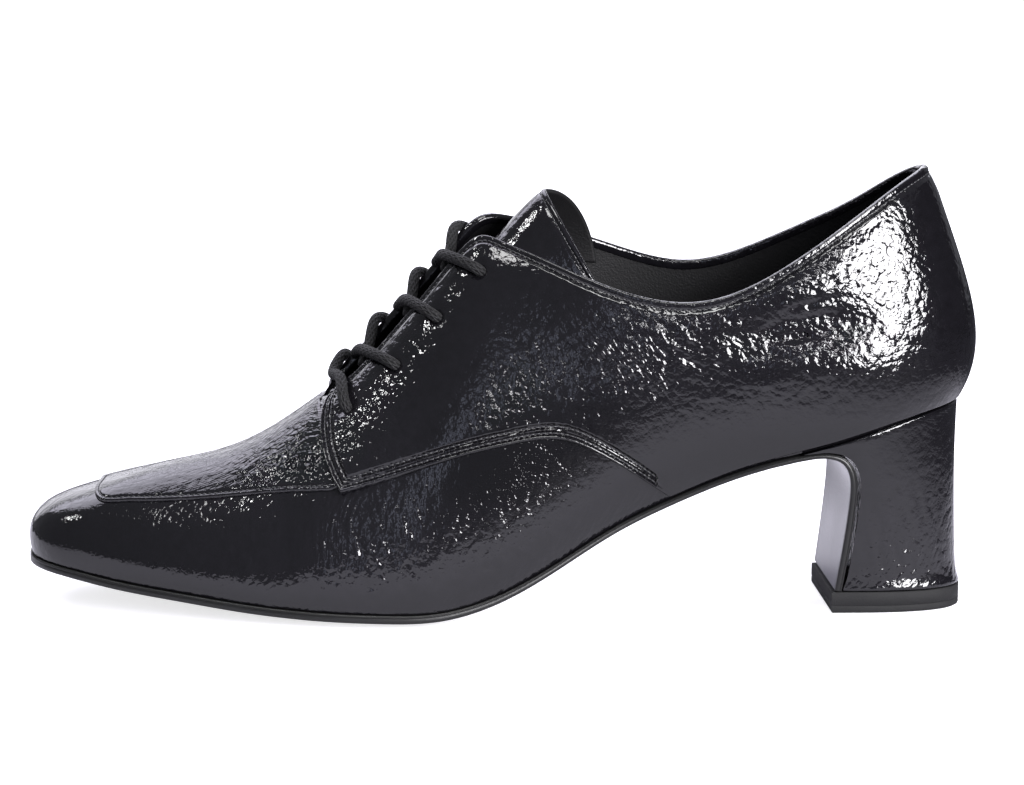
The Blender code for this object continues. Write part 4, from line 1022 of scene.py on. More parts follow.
def heel_loops():
    """The heel's plain loops, from the top piece up to its seat under the upper."""
    half = HEEL_POINTS // 2
    ribs = rib_over(LIP) * np.linspace(1.0, 0.0, half + 1)[:-1] + HEEL_BACK_RIB
    seat = np.concatenate([foot_edge(ribs, 1, HEEL_MARGIN), foot_edge(ribs, -1, HEEL_MARGIN)[::-1]])
    seat_back, seat_front = seat[:, 0].min(), seat[:, 0].max()
    seat_share = (seat[:, 0] - seat_back) / (seat_front - seat_back)
    base_share, base_y = top_piece_outline(HEEL_POINTS)
    fine = (len(LEVELS) - 1.0) * shares(HEEL_ROWS, start=HEEL_FIRST)
    levels = [Level(*row) for row in on_curve(LEVELS, fine)]
    face, inside, thick, _ = flap_path(np.array([level.flap for level in levels]))
    fronts = face + inside * (thick + SOLE_GAP)[:, None]
    seat_z = FEATHER_LINE(seat_back) - SOLE_GAP
    rings = []
    for level, front in zip(levels, fronts):
        share = base_share * (1.0 - level.blend) + seat_share * level.blend
        y = base_y * (1.0 - level.blend) + seat[:, 1] * level.blend
        back_x = np.interp(level.back_z, (TOP_PIECE, seat_z), (TOP_PIECE_BACK, seat_back))
        turned = skew(y) * min(1.0, (level.flap - SKEW_FROM) / SKEW_OVER)
        length = front[0] + turned - back_x
        spare = level.blend * (seat_front - seat_back - length)
        walk = share + spare * (share - share ** 3) / length
        x = back_x + walk * length
        z = level.back_z + walk * (max(front[1], TOP_PIECE + SOLE_GAP) - level.back_z)
        rings.append(np.stack([x, y, z], axis=1))
    rim = raised(seat, FEATHER_LINE(seat[:, 0]) - SOLE_GAP)
    for share in HEEL_RIM:
        rings.append(rings[len(levels) - 1] * (1.0 - share) + rim * share)
    return np.array(rings)


def heel_mesh(crease):
    """The heel's cover, hollow in its sides and rounded where it meets the upper and the top piece."""
    loops = heel_loops()
    height = walked(loops, 0)
    below_top = height[-1:] - height
    drawn = HEEL_ROUND * (2.0 - rolled(height, HEEL_ROUND_LOW) - rolled(below_top, HEEL_ROUND_TOP))
    flare = 1.0 - np.exp(-(height / HEEL_FLARE_START) ** 2)
    drawn = drawn + HEEL_FLARE * flare * np.exp(-(height / HEEL_FLARE_REACH) ** 2)
    drawn = drawn + HEEL_HOLLOW * np.sin(math.pi * height / height[-1:])
    away = eased(height, *HEEL_CREASE_FROM_LOW) * eased(below_top, *HEEL_CREASE_FROM_TOP)
    drawn = drawn - crease * away * crease_lift(loops, HEEL_CREASES)
    return tube_mesh("heel_cover", inset(loops, drawn), fields={"crinkle": crinkle_at(loops)})


def top_piece_mesh():
    """The heel's rubber top piece with its moulded line."""
    share, y = top_piece_outline(HEEL_POINTS)
    x = TOP_PIECE_BACK + share * (TOP_PIECE_FRONT + skew(y) - TOP_PIECE_BACK)
    outline = np.stack([x, y, np.zeros_like(x)], axis=1)
    loops = np.stack([outline + np.array([0.0, 0.0, step.z]) for step in TOP_PIECE_EDGE])
    amounts = np.array([step.inset for step in TOP_PIECE_EDGE])[:, None]
    return tube_mesh("heel_tip", inset(loops, np.broadcast_to(amounts, loops.shape[:2])))


def strand_points(turns, number):
    """The middle line of one lace strand that belongs to the numbered eyelet pair."""
    outer, inner = eyelet_places(1), eyelet_places(-1)
    base = QUARTER_SEAT + LEATHER_OVER + LACE / 2.0
    count = np.arange(len(outer))
    points = []
    for place, turn in enumerate(turns):
        level = number - turn.below
        heights = [base + turn.lift]
        if turn.at_hole:
            heights = [EYELET_THROUGH, EYELET_MOUTH] if place == 0 else [EYELET_MOUTH, EYELET_THROUGH]
        for height in heights:
            ends = []
            for places in (outer, inner):
                ring = np.interp(level, count, places[:, 0])
                ring += min(level, 0.0) * (places[1, 0] - places[0, 0])
                up = np.interp(level, count, places[:, 1]) if turn.at_hole else 1.0
                ends.append(last_offset(ring, up, height))
            point = turn.share * ends[0] + (1.0 - turn.share) * ends[1]
            points.append(point + np.array([0.0, turn.inset * (1.0 - 2.0 * turn.share), 0.0]))
    points = np.array(points)
    reach = walked(points, 0)
    fine = np.linspace(0.0, reach[-1], STRAND_POINTS)
    return np.stack([spline(reach, points[:, axis])(fine) for axis in range(3)], axis=1)


def cord_loops(points, diameter):
    """Loops of a round cord along the points, without twist, drawn in at both ends."""
    way = unit(np.gradient(points, axis=0))
    side = unit(np.cross(way[0], (0.0, 0.0, 1.0)))
    loops = []
    reach = walked(points, 0)
    ends = np.minimum(reach, reach[-1] - reach)
    for point, along, end in zip(points, way, ends):
        side = unit(side - np.dot(side, along) * along)
        other = np.cross(along, side)
        radius = diameter / 2.0 * (CORD_END + CORD_REST * rolled(end, diameter / 2.0))
        round_it = np.cos(CORD_TURN)[:, None] * side + np.sin(CORD_TURN)[:, None] * other
        loops.append(point + radius * round_it)
    return np.array(loops)


def cord_mesh(name, strands, diameter):
    """One mesh of several closed strands, with fields for the braid."""
    bm = bmesh.new()
    for points in strands:
        loops = cord_loops(points, diameter)
        turn = CORD_STRANDS * CORD_TURN
        fields = {
            "wave_cos": np.broadcast_to(np.cos(turn), loops.shape[:2]),
            "wave_sin": np.broadcast_to(np.sin(turn), loops.shape[:2]),
            "along": np.broadcast_to(walked(points, 0)[:, None], loops.shape[:2]),
        }
        part = tube_mesh(name + "_strand", loops, fields=fields)
        bm.from_mesh(part)
        bpy.data.meshes.remove(part)
    mesh = bpy.data.meshes.new(name)
    bm.to_mesh(mesh)
    bm.free()
    return mesh


def line_at(values, distance, wanted):
    """Where lines of values, read along their distance, have gone the wanted way."""
    return np.stack([[np.interp(wanted, far, line[:, axis]) for axis in range(3)]
                     for far, line in zip(distance, values)])


def row_at(skin, normal, far, wanted):
    """A row of stitches the wanted way from an edge, as points and normals."""
    return line_at(skin, far, wanted), line_at(normal, far, wanted)


def row_at_end(grid, chosen, far, wanted):
    """A row of stitches the wanted way from the grid's last line, in its chosen rows."""
    skin = grid.skin[::-1, chosen].transpose(1, 0, 2)
    normal = grid.normal[::-1, chosen].transpose(1, 0, 2)
    return row_at(skin, normal, far[::-1, chosen].T, wanted)


def quarter_rows(side, leather, roll, crease):
    """A quarter's stitch rows as points and normals: seam, front edge, facing and topline."""
    grid = quarter_grid(side, leather, roll, crease)
    rows = []
    for inset_by in SEAM_ROWS:
        sewn = (grid.rib > QUARTER_SEAM_RIB + SEAM_START) & (grid.from_front[:, 0] > inset_by)
        rows.append(row_at(grid.skin[sewn], grid.normal[sewn], grid.from_low[sewn], inset_by))
        climb = (grid.from_low[-1] > inset_by) & (grid.from_top[-1] > TOP_ROW)
        rows.append(row_at_end(grid, climb, grid.from_front, inset_by))
    down = (grid.from_front[:, -1] > SEAM_ROWS[0], slice(None, None, -1))
    rows.append(row_at(grid.skin[down], grid.normal[down], grid.from_top[down], TOP_ROW))
    return rows


def apron_rows(leather, roll):
    """The apron's stitch row as points and normals."""
    grid = apron_grid(leather, roll)
    sewn = grid.from_rear[:, 0] > APRON_SEWN
    return [row_at(grid.skin[sewn], grid.normal[sewn], grid.from_edge[sewn], APRON_ROW)]


def tongue_rows():
    """The tongue's stitch rows as points and normals: both sides and the top."""
    grid = tongue_grid()
    below_top = grid.from_top[:, 0]
    sewn = (below_top < TONGUE_SEWN) & (below_top > TONGUE_ROW)
    half = grid.skin.shape[1] // 2
    rows = []
    for inwards in (slice(None, half), slice(None, half - 1, -1)):
        side = (sewn, inwards)
        rows.append(row_at(grid.skin[side], grid.normal[side], grid.from_side[side], TONGUE_ROW))
    across = grid.from_side[-1] > TONGUE_ROW
    rows.append(row_at_end(grid, across, grid.from_top, TONGUE_ROW))
    return rows


class Graph:
    """Adds nodes to a tree and joins their sockets."""

    def __init__(self, tree):
        self.tree = tree

    def node(self, kind, inputs=None, **settings):
        """A new node with its settings; its inputs are joined to sockets or set to constants."""
        made = self.tree.nodes.new(kind)
        for key, value in settings.items():
            setattr(made, key, value)
        for key, value in (inputs or {}).items():
            self.put(made.inputs[key], value)
        return made

    def put(self, socket, value):
        """Joins an input to another socket, or sets it to a constant."""
        if isinstance(value, bpy.types.NodeSocket):
            self.tree.links.new(value, socket)
        else:
            socket.default_value = value

    def math(self, operation, first, second=0.0):
        """One step of arithmetic."""
        return self.node("ShaderNodeMath", {0: first, 1: second}, operation=operation).outputs[0]

    def vector(self, operation, first, second):
        """One step of arithmetic with vectors."""
        return self.node("ShaderNodeVectorMath", {0: first, 1: second}, operation=operation).outputs[0]

    def scaled(self, vector, factor):
        """A vector made longer or shorter."""
        return self.node("ShaderNodeVectorMath", {0: vector, "Scale": factor}, operation="SCALE").outputs[0]

    def in_mm(self, place):
        """A place in millimetres."""
        return self.scaled(place, 1.0 / MM)

    def noise(self, place, scale, detail=2.0, roughness=0.5, output="Fac"):
        """Soft noise with the given number of swells to a unit of the place."""
        sockets = {"Vector": place, "Scale": scale, "Detail": detail, "Roughness": roughness}
        return self.node("ShaderNodeTexNoise", sockets).outputs[output]

    def drift(self, place, layer):
        """Shifts that wander from place to place."""
        colour = self.noise(place, layer.scale, 1.0, output="Color")
        return self.scaled(self.vector("SUBTRACT", colour, (0.5, 0.5, 0.5)), layer.amount)

    def between(self, value, low, high, start=0.0, end=1.0):
        """The value's range from start to end stretched to low and high."""
        sockets = {"Value": value, "From Min": start, "From Max": end, "To Min": low, "To Max": high}
        return self.node("ShaderNodeMapRange", sockets).outputs["Result"]

    def mixed(self, share, first, second):
        """A colour between the first and the second."""
        return self.node("ShaderNodeMix", {0: share, 6: first, 7: second}, data_type="RGBA").outputs[2]

    def field(self, name):
        """A number that the piece's mesh carries."""
        return self.node("ShaderNodeAttribute", attribute_name=name).outputs["Fac"]

    def group(self, tree, inputs):
        """A node group with its inputs."""
        return self.node("ShaderNodeGroup", inputs, node_tree=tree)


def new_group(name, tree_kind, inputs, outputs, fill):
    """A node group, made once; fill joins its input sockets to its output sockets.

    inputs and outputs give the kind of each socket by its name.
    """
    tree = bpy.data.node_groups.get(name)
    if tree:
        return tree
    tree = bpy.data.node_groups.new(name, tree_kind)
    for way, sockets in (("INPUT", inputs), ("OUTPUT", outputs)):
        for socket_name, kind in sockets.items():
            tree.interface.new_socket(name=socket_name, in_out=way, socket_type="NodeSocket" + kind)
    given = tree.nodes.new("NodeGroupInput")
    wanted = tree.nodes.new("NodeGroupOutput")
    fill(Graph(tree), given.outputs, wanted.inputs)
    return tree


def shader_group(name, vectors, values, outputs, fill):
    """A shader node group from the names of its vectors, values and outputs, which are values too."""
    inputs = {**dict.fromkeys(vectors, "Vector"), **dict.fromkeys(values, "Float")}
    return new_group(name, "ShaderNodeTree", inputs, dict.fromkeys(outputs, "Float"), fill)


# Layers of the crinkle: how many swells to a millimetre, and how high they stand or how far they shift
Layer = namedtuple("Layer", "scale amount")
SHAKE, PEBBLE, SWELL = Layer(0.5, 1.4), Layer(0.7, 0.45), Layer(0.36, 1.3)
BEND, SPECK = Layer(0.07, 8.0), Layer(1.9, 0.12)
SOFT = 0.4               # roughness of the softer noises
TONE_SCALE, PIT_REACH = 0.05, 0.7
SMEAR_SCALE, SMEAR_ROUGH = 0.045, 0.6
NOISE_BAND = (0.3, 0.7)             # most of a noise lies in here


def crinkle_group():
    """Crinkled patent leather: rounded pebbles between thin valleys, with drawn-out folds where it bends."""

    def fill(graph, given, wanted):
        place = graph.in_mm(given["Place"])
        shaken = graph.vector("ADD", place, graph.drift(place, SHAKE))
        cells = graph.node("ShaderNodeTexVoronoi", {"Vector": shaken, "Scale": PEBBLE.scale})
        pebble = graph.math("SUBTRACT", 1.0, graph.math("POWER", cells.outputs["Distance"], 2.0))
        swell = graph.noise(place, SWELL.scale, 1.0, SOFT)
        body = graph.math("ADD", graph.math("MULTIPLY", pebble, PEBBLE.amount),
                          graph.math("MULTIPLY", swell, SWELL.amount))

        flat = graph.vector("ADD", graph.in_mm(given["Surface"]), graph.drift(place, BEND))
        turned = graph.node("ShaderNodeVectorRotate", {"Vector": flat, "Angle": given["Turn"]},
                            rotation_type="Z_AXIS").outputs[0]
        size = graph.node("ShaderNodeCombineXYZ", {"X": given["Across"], "Y": given["Along"], "Z": 1.0})
        fold = graph.noise(graph.vector("DIVIDE", turned, size.outputs[0]), 1.0, 1.0, SOFT)
        fold = graph.math("MULTIPLY", fold, graph.math("MULTIPLY", given["Folds"], given["Amount"]))

        speck = graph.math("MULTIPLY", graph.noise(place, SPECK.scale, 1.0), SPECK.amount)
        deep = graph.math("MULTIPLY", graph.math("ADD", body, fold), given["Amount"])
        graph.put(wanted["Height"], graph.math("ADD", deep, speck))

    values = ("Amount", "Turn", "Across", "Along", "Folds")
    return shader_group("crinkle", ("Surface", "Place"), values, ("Height",), fill)


def pore_group():
    """Pores of smooth leather and a slow change of tone."""

    def fill(graph, given, wanted):
        place = graph.in_mm(given["Place"])
        scale = graph.math("DIVIDE", 1.0, given["Size"])
        cells = graph.node("ShaderNodeTexVoronoi", {"Vector": place, "Scale": scale}, feature="SMOOTH_F1")
        pits = graph.between(cells.outputs["Distance"], 1.0, 0.0, 0.0, PIT_REACH)
        graph.put(wanted["Height"], graph.math("ADD", pits, graph.noise(place, scale)))
        graph.put(wanted["Tone"], graph.noise(place, TONE_SCALE, 3.0))

    return shader_group("pores", ("Place",), ("Size",), ("Height", "Tone"), fill)


def smear_group():
    """A slow change between two values, as of handling and dust."""

    def fill(graph, given, wanted):
        slow = graph.noise(graph.in_mm(given["Place"]), SMEAR_SCALE, 3.0, SMEAR_ROUGH)
        graph.put(wanted["Value"], graph.between(slow, given["Low"], given["High"], *NOISE_BAND))

    return shader_group("smear", ("Place",), ("Low", "High"), ("Value",), fill)


def new_material(name):
    """An empty surface material: its graph, its shader and its object coordinates."""
    material = bpy.data.materials.new(name)
    material.use_nodes = True
    tree = material.node_tree
    tree.nodes.clear()
    graph = Graph(tree)
    shader = graph.node("ShaderNodeBsdfPrincipled")
    graph.node("ShaderNodeOutputMaterial", {"Surface": shader.outputs["BSDF"]})
    place = graph.node("ShaderNodeTexCoord").outputs["Object"]
    return material, graph, shader, place


def toned(graph, shader, colour, tone, change):
    """Base colour between a darker and a lighter tone of one colour."""
    dark = [part * (1.0 - change) for part in colour] + [1.0]
    light = [part * (1.0 + change) for part in colour] + [1.0]
    graph.put(shader.inputs["Base Color"], graph.mixed(tone, dark, light))


def bumped(graph, shader, height, depth):
    """A bump of the given depth in millimetres."""
    bump = graph.node("ShaderNodeBump", {"Height": height, "Distance": depth * MM, "Strength": 1.0})
    graph.put(shader.inputs["Normal"], bump.outputs["Normal"])


def smeared(graph, place, low, high):
    """A value that changes slowly over the piece between low and high."""
    return graph.group(smear_group(), {"Place": place, "Low": low, "High": high}).outputs["Value"]


# Patent leathers: turn of the folds on the surface, their size, their height, depth of the bump, and
# lowest and highest roughness
Patent = namedtuple("Patent", "turn across along folds depth low high")
PATENTS = {
    "vamp_patent": Patent(-0.25, 1.5, 6.5, 2.4, 0.34, 0.035, 0.06),
    "apron_patent": Patent(0.9, 1.5, 2.4, 1.2, 0.36, 0.04, 0.07),
    "quarter_patent": Patent(0.7, 1.6, 4.5, 1.0, 0.36, 0.03, 0.05),
    "tongue_patent": Patent(0.2, 1.6, 4.0, 0.8, 0.26, 0.06, 0.10),
    "heel_patent": Patent(0.35, 1.5, 3.6, 1.6, 0.30, 0.05, 0.09),
}
# Painted shade: the patent's base colour is darker in the crinkle's valleys and lighter on its pebbles, over
# this band of crinkle height and by this share
PATENT_SHADE_BAND, PATENT_SHADE_CHANGE, PATENT_IOR = (0.2, 0.9), 0.3, 1.5

# Plain leathers and rubber: size and depth of the pores, lowest and highest roughness
Hide = namedtuple("Hide", "size depth low high")
HIDES = {
    "lining_leather": Hide(0.5, 0.05, 0.5, 0.65),
    "heel_rubber": Hide(0.35, 0.04, 0.68, 0.8),
    "sole_leather": Hide(0.7, 0.015, 0.30, 0.42),
}
HIDE_CHANGE, DULL, SATIN = 0.35, 0.25, 0.34     # change of tone, and two levels of specular
# Painted reflection: the paler colour of the flap's face stands in for the floor's sheen, made uneven by the
# pores' tone
FLAP_SHEEN_COLOUR = (0.054, 0.052, 0.061, 1.0)
FLAP_ROUGH, FLAP_SHEEN_TONE = (0.16, 0.22), (0.75, 1.0)

# Cord and thread: fibres to a millimetre, depth of the bump, change of tone and roughness; on the cord the
# change of tone is painted shade, darker in the braid's hollows
Yarn = namedtuple("Yarn", "fibres depth change rough")
CORD = Yarn(3.0, 0.22, 0.8, (0.5, 0.8))
THREAD = Yarn(6.0, 0.03, 0.3, (0.3, 0.55))
BRAID_WIND = 2.6         # how fast a lace strand winds round, in radians a millimetre
# painted shade: over this band of the braid's height the cord's colour runs from darker in the hollows to
# lighter on the strands
BRAID_SHADE_BAND = (-0.6, 1.0)


def patent(name, colour):
    """Black crinkled patent leather; the amount of crinkle comes from the piece."""
    style = PATENTS[name]
    material, graph, shader, place = new_material(name)
    surface = graph.node("ShaderNodeUVMap", uv_map="surface").outputs["UV"]
    crinkle = graph.group(crinkle_group(), {
        "Surface": surface, "Place": place, "Amount": graph.field("crinkle"),
        "Turn": style.turn, "Across": style.across, "Along": style.along, "Folds": style.folds,
    }).outputs["Height"]
    uneven = graph.noise(graph.in_mm(place), PULL_SCALE, 1.0)
    uneven = graph.between(uneven, -0.5 * PULL_UNEVEN, 0.5 * PULL_UNEVEN)
    off_row = graph.math("ADD", graph.field("off_row"), uneven)
    pulled = graph.between(off_row, 0.0, PULL_DEPTH / style.depth, *PULL_BAND)
    pulled.node.interpolation_type = "SMOOTHSTEP"
    bumped(graph, shader, graph.math("ADD", crinkle, pulled), style.depth)
    graph.put(shader.inputs["Roughness"], smeared(graph, place, style.low, style.high))
    # painted shade: the base colour is darker in the crinkle's valleys and lighter on its pebble tops
    toned(graph, shader, colour, graph.between(crinkle, 0.0, 1.0, *PATENT_SHADE_BAND), PATENT_SHADE_CHANGE)
    shader.inputs["IOR"].default_value = PATENT_IOR
    return material


def leather(name, colour):
    """Plain leather or rubber with pores."""
    style = HIDES[name]
    material, graph, shader, place = new_material(name)
    pores = graph.group(pore_group(), {"Place": place, "Size": style.size})
    bumped(graph, shader, pores.outputs["Height"], style.depth)
    graph.put(shader.inputs["Roughness"], smeared(graph, place, style.low, style.high))
    toned(graph, shader, colour, pores.outputs["Tone"], HIDE_CHANGE)
    shader.inputs["Specular IOR Level"].default_value = DULL
    return material


def sole_leather(name, colour):
    """Dark satin sole; the heel's flap is smoother, and its face is painted paler as a painted reflection of
    the floor's sheen, with a dark edge.
    """
    style = HIDES[name]
    material, graph, shader, place = new_material(name)
    flap = graph.field("flap")
    pores = graph.group(pore_group(), {"Place": place, "Size": style.size})
    bumped(graph, shader, pores.outputs["Height"], style.depth)
    sole_rough = smeared(graph, place, style.low, style.high)
    flap_rough = smeared(graph, place, *FLAP_ROUGH)
    rough = graph.node("ShaderNodeMix", {0: flap, 2: sole_rough, 3: flap_rough}, data_type="FLOAT")
    graph.put(shader.inputs["Roughness"], rough.outputs[0])
    # painted reflection: the flap's face takes the paler sheen colour, unevenly by the pores' tone
    tone = graph.math("MULTIPLY", flap, graph.between(pores.outputs["Tone"], *FLAP_SHEEN_TONE, *NOISE_BAND))
    graph.put(shader.inputs["Base Color"], graph.mixed(tone, [*colour, 1.0], FLAP_SHEEN_COLOUR))
    shader.inputs["Specular IOR Level"].default_value = SATIN
    return material


def cord(name, colour):
    """The lace: two sets of strands braided round each other."""
    material, graph, shader, place = new_material(name)
    wind = graph.math("MULTIPLY", graph.field("along"), BRAID_WIND)
    straight = graph.math("MULTIPLY", graph.field("wave_cos"), graph.math("COSINE", wind))
    crossed = graph.math("MULTIPLY", graph.field("wave_sin"), graph.math("SINE", wind))
    left = graph.math("ADD", straight, crossed)
    right = graph.math("SUBTRACT", straight, crossed)
    braid = graph.math("MAXIMUM", left, right)
    fibre = graph.noise(graph.in_mm(place), CORD.fibres)
    bumped(graph, shader, graph.math("ADD", braid, fibre), CORD.depth)
    # painted shade: the cord's colour is darker in the hollows between the braid's strands and lighter on
    # their crowns
    toned(graph, shader, colour, graph.between(braid, 0.0, 1.0, *BRAID_SHADE_BAND), CORD.change)
    graph.put(shader.inputs["Roughness"], graph.between(fibre, *CORD.rough))
    shader.inputs["Specular IOR Level"].default_value = DULL
    return material


def thread(name, colour):
    """Waxed sewing thread."""
    material, graph, shader, place = new_material(name)
    fibre = graph.noise(graph.in_mm(place), THREAD.fibres)
    bumped(graph, shader, fibre, THREAD.depth)
    toned(graph, shader, colour, fibre, THREAD.change)
    graph.put(shader.inputs["Roughness"], graph.between(fibre, *THREAD.rough))
    return material


# For each material the colour that it takes and the function that makes it
LOOKS = {name: ("patent", patent) for name in PATENTS}
LOOKS.update(lining_leather=("lining", leather), heel_rubber=("rubber", leather),
             sole_leather=("sole", sole_leather), lace_cord=("cord", cord), seam_thread=("thread", thread))


def look(name):
    """The named material in the scene's colours, made when it is first asked for."""
    found = bpy.data.materials.get(name)
    if found:
        return found
    colour, made = LOOKS[name]
    return made(name, getattr(bpy.context.scene.shoe_colours, colour))


STITCH_ENDS, STITCH_ARCH = -0.45, 0.75      # heights of a stitch's ends and middle, in threads
STITCH_STEPS, STITCH_SIDES = 5, 7


def fill_stitches(graph, given, wanted):
    """Nodes that set bent threads along the guide lines, standing on the leather."""
    lines = graph.node("GeometryNodeMeshToCurve", {"Mesh": given["Geometry"]}).outputs["Curve"]
    places = graph.node("GeometryNodeResampleCurve", {"Curve": lines, "Length": given["Pitch"]},
                        mode="LENGTH")
    lift = graph.node("GeometryNodeInputNamedAttribute", {"Name": "lift"}, data_type="FLOAT_VECTOR")
    along = graph.node("GeometryNodeInputTangent").outputs[0]
    stand = graph.node("FunctionNodeAxesToRotation", {"Primary Axis": lift.outputs["Attribute"],
                                                      "Secondary Axis": along},
                       primary_axis="Z", secondary_axis="X").outputs["Rotation"]

    half = graph.math("MULTIPLY", given["Length"], 0.5)
    before = graph.math("MULTIPLY", half, -1.0)
    low = graph.math("MULTIPLY", given["Thread"], STITCH_ENDS)
    high = graph.math("MULTIPLY", given["Thread"], STITCH_ARCH)
    start = graph.node("ShaderNodeCombineXYZ", {"X": before, "Z": low}).outputs[0]
    middle = graph.node("ShaderNodeCombineXYZ", {"Z": high}).outputs[0]
    end = graph.node("ShaderNodeCombineXYZ", {"X": half, "Z": low}).outputs[0]
    arch = {"Resolution": STITCH_STEPS, "Start": start, "Middle": middle, "End": end}
    bent = graph.node("GeometryNodeCurveQuadraticBezier", arch).outputs["Curve"]
    radius = graph.math("MULTIPLY", given["Thread"], 0.5)
    circle = {"Resolution": STITCH_SIDES, "Radius": radius}
    ring = graph.node("GeometryNodeCurvePrimitiveCircle", circle).outputs["Curve"]
    stitch = graph.node("GeometryNodeCurveToMesh", {"Curve": bent, "Profile Curve": ring,
                                                    "Fill Caps": True}).outputs["Mesh"]
    set_down = graph.node("GeometryNodeInstanceOnPoints", {"Points": places.outputs["Curve"],
                                                           "Instance": stitch, "Rotation": stand})
    solid = graph.node("GeometryNodeRealizeInstances", {"Geometry": set_down.outputs["Instances"]})
    dressed = graph.node("GeometryNodeSetMaterial", {"Geometry": solid.outputs["Geometry"],
                                                     "Material": given["Material"]})
    graph.put(wanted["Geometry"], dressed.outputs["Geometry"])


def stitch_tree():
    """The geometry nodes of the stitches."""
    inputs = {"Geometry": "Geometry", "Pitch": "Float", "Length": "Float", "Thread": "Float",
              "Material": "Material"}
    tree = new_group("stitch_rows", "GeometryNodeTree", inputs, {"Geometry": "Geometry"}, fill_stitches)
    tree.is_modifier = True
    return tree


def stitch_guide(rows):
    """A mesh of lines along the stitch rows, which carries the leather's normals."""
    points = np.concatenate([row[0] for row in rows])
    normals = np.concatenate([row[1] for row in rows])
    edges, first = [], 0
    for row in rows:
        edges += [(at, at + 1) for at in range(first, first + len(row[0]) - 1)]
        first += len(row[0])
    mesh = bpy.data.meshes.new("stitch_guide")
    mesh.from_pydata((points * MM).tolist(), edges, [])
    lift = mesh.attributes.new("lift", "FLOAT_VECTOR", "POINT")
    lift.data.foreach_set("vector", np.ascontiguousarray(normals, np.float32).ravel())
    return mesh


def stitch_mesh(rows, pitch, length, thickness, material):
    """The stitches of all rows as one plain mesh."""
    guide = new_object("stitch_guide", stitch_guide(rows))
    modifier = guide.modifiers.new("stitches", "NODES")
    modifier.node_group = stitch_tree()
    values = {"Pitch": pitch, "Length": length, "Thread": thickness, "Material": material}
    for item in modifier.node_group.interface.items_tree:
        if item.in_out == "INPUT" and item.name in values:
            modifier[item.identifier] = values[item.name]
    graph = bpy.context.evaluated_depsgraph_get()
    mesh = bpy.data.meshes.new_from_object(guide.evaluated_get(graph))
    mesh.name = "seam_stitches"
    line = guide.data
    bpy.data.objects.remove(guide)
    bpy.data.meshes.remove(line)
    if not mesh.polygons:
        raise RuntimeError("the stitch rows came out empty")
    return mesh


# Stage: lamps as softboxes, with where they stand, what they look at, size, roll, power and tint, in
# metres, degrees and watts
Softbox = namedtuple("Softbox", "name place target width height roll power tint")
SOFTBOXES = (
    Softbox("key", (-0.978, 1.156, 0.493), (-0.09, 0.02, 0.08), 0.60, 1.15, -52, 72.0, (0.98, 0.97, 1.0)),
    Softbox("back_high", (0.37, -1.05, 1.24), (0.0, 0.0, 0.05), 1.4, 1.15, 0, 18.0, (0.88, 0.86, 1.0)),
    Softbox("backdrop", (0.3, -1.9, 0.50), (0.05, 0.0, 0.10), 2.4, 0.8, 0, 10.0, (0.93, 0.92, 1.0)),
    Softbox("toe_high", (1.12, -0.02, 1.24), (0.05, 0.02, 0.05), 0.12, 0.12, 0, 2.6, (1.0, 1.0, 1.0)),
    Softbox("overhead", (0.05, 0.40, 1.55), (0.05, 0.02, 0.05), 0.9, 0.4, 0, 16.0, (1.0, 1.0, 1.0)),
    Softbox("topline", (-0.40, 1.38, 0.72), (-0.07, 0.03, 0.08), 0.55, 0.10, -12, 3.2, (0.98, 0.97, 1.0)),
    Softbox("cool_side", (0.24, 1.60, 0.45), (0.0, 0.0, 0.05), 0.16, 1.0, 0, 0.8, (0.72, 0.78, 1.0)),
)
FLAG = ((-1.35, -1.1, 0.0), (-1.35, 0.5, 0.0), (-1.35, 0.5, 0.9), (-1.35, -1.1, 0.9))
FLAG_COLOUR, FLAG_CHANGE, FLAG_WEAVE = (0.004, 0.004, 0.004), 0.5, 900.0
CAMERA_EYE = (-0.00305, 0.820, 0.188)
CAMERA_TILT = 9.1
CAMERA_LENS, CAMERA_SENSOR = 108.1, 36.0
FLOOR_REACH = 6.0
FLOOR_MIDDLE = (0.3, 0.0, 0.0)      # distances on the floor are taken from here
FLOOR_SQUEEZE = (0.5, 1.0, 1.0)     # and count half along the shoe
FLOOR_LIT = (0.225, 0.325)          # from here to there the floor falls dark in reflections
FLOOR_DARK = (0.025, 0.025, 0.03, 1.0)
FLOOR_GLOW = (0.72, 1.0)            # glow under the shoe and far from it
FLOOR_FADE = (0.15, 0.7)            # from here to there the glow changes
FLOOR_ROUGH, FLOOR_SPECULAR = 0.9, 0.1
FLOOR_DROP = 0.0002                 # how far the floor lies below the shoe
WHITE = (1.0, 1.0, 1.0, 1.0)
ROOM_TINT = (0.88, 0.9, 1.0, 1.0)


def softbox(row, share):
    """One area lamp that the camera does not see."""
    lamp = bpy.data.lights.new(row.name, "AREA")
    lamp.shape = "RECTANGLE"
    lamp.size, lamp.size_y = row.width, row.height
    lamp.energy = row.power * share
    lamp.color = row.tint
    stand = new_object(row.name, lamp)
    stand.location = row.place
    way = Vector(row.target) - Vector(row.place)
    turn = Quaternion((0.0, 0.0, 1.0), math.radians(row.roll))
    stand.rotation_euler = (way.to_track_quat("-Z", "Y") @ turn).to_euler()
    stand.visible_camera = False
    return stand


def panel(name, corners, material):
    """A flat panel."""
    mesh = bpy.data.meshes.new(name)
    mesh.from_pydata(corners, [], [tuple(range(len(corners)))])
    mesh.materials.append(material)
    return new_object(name, mesh)


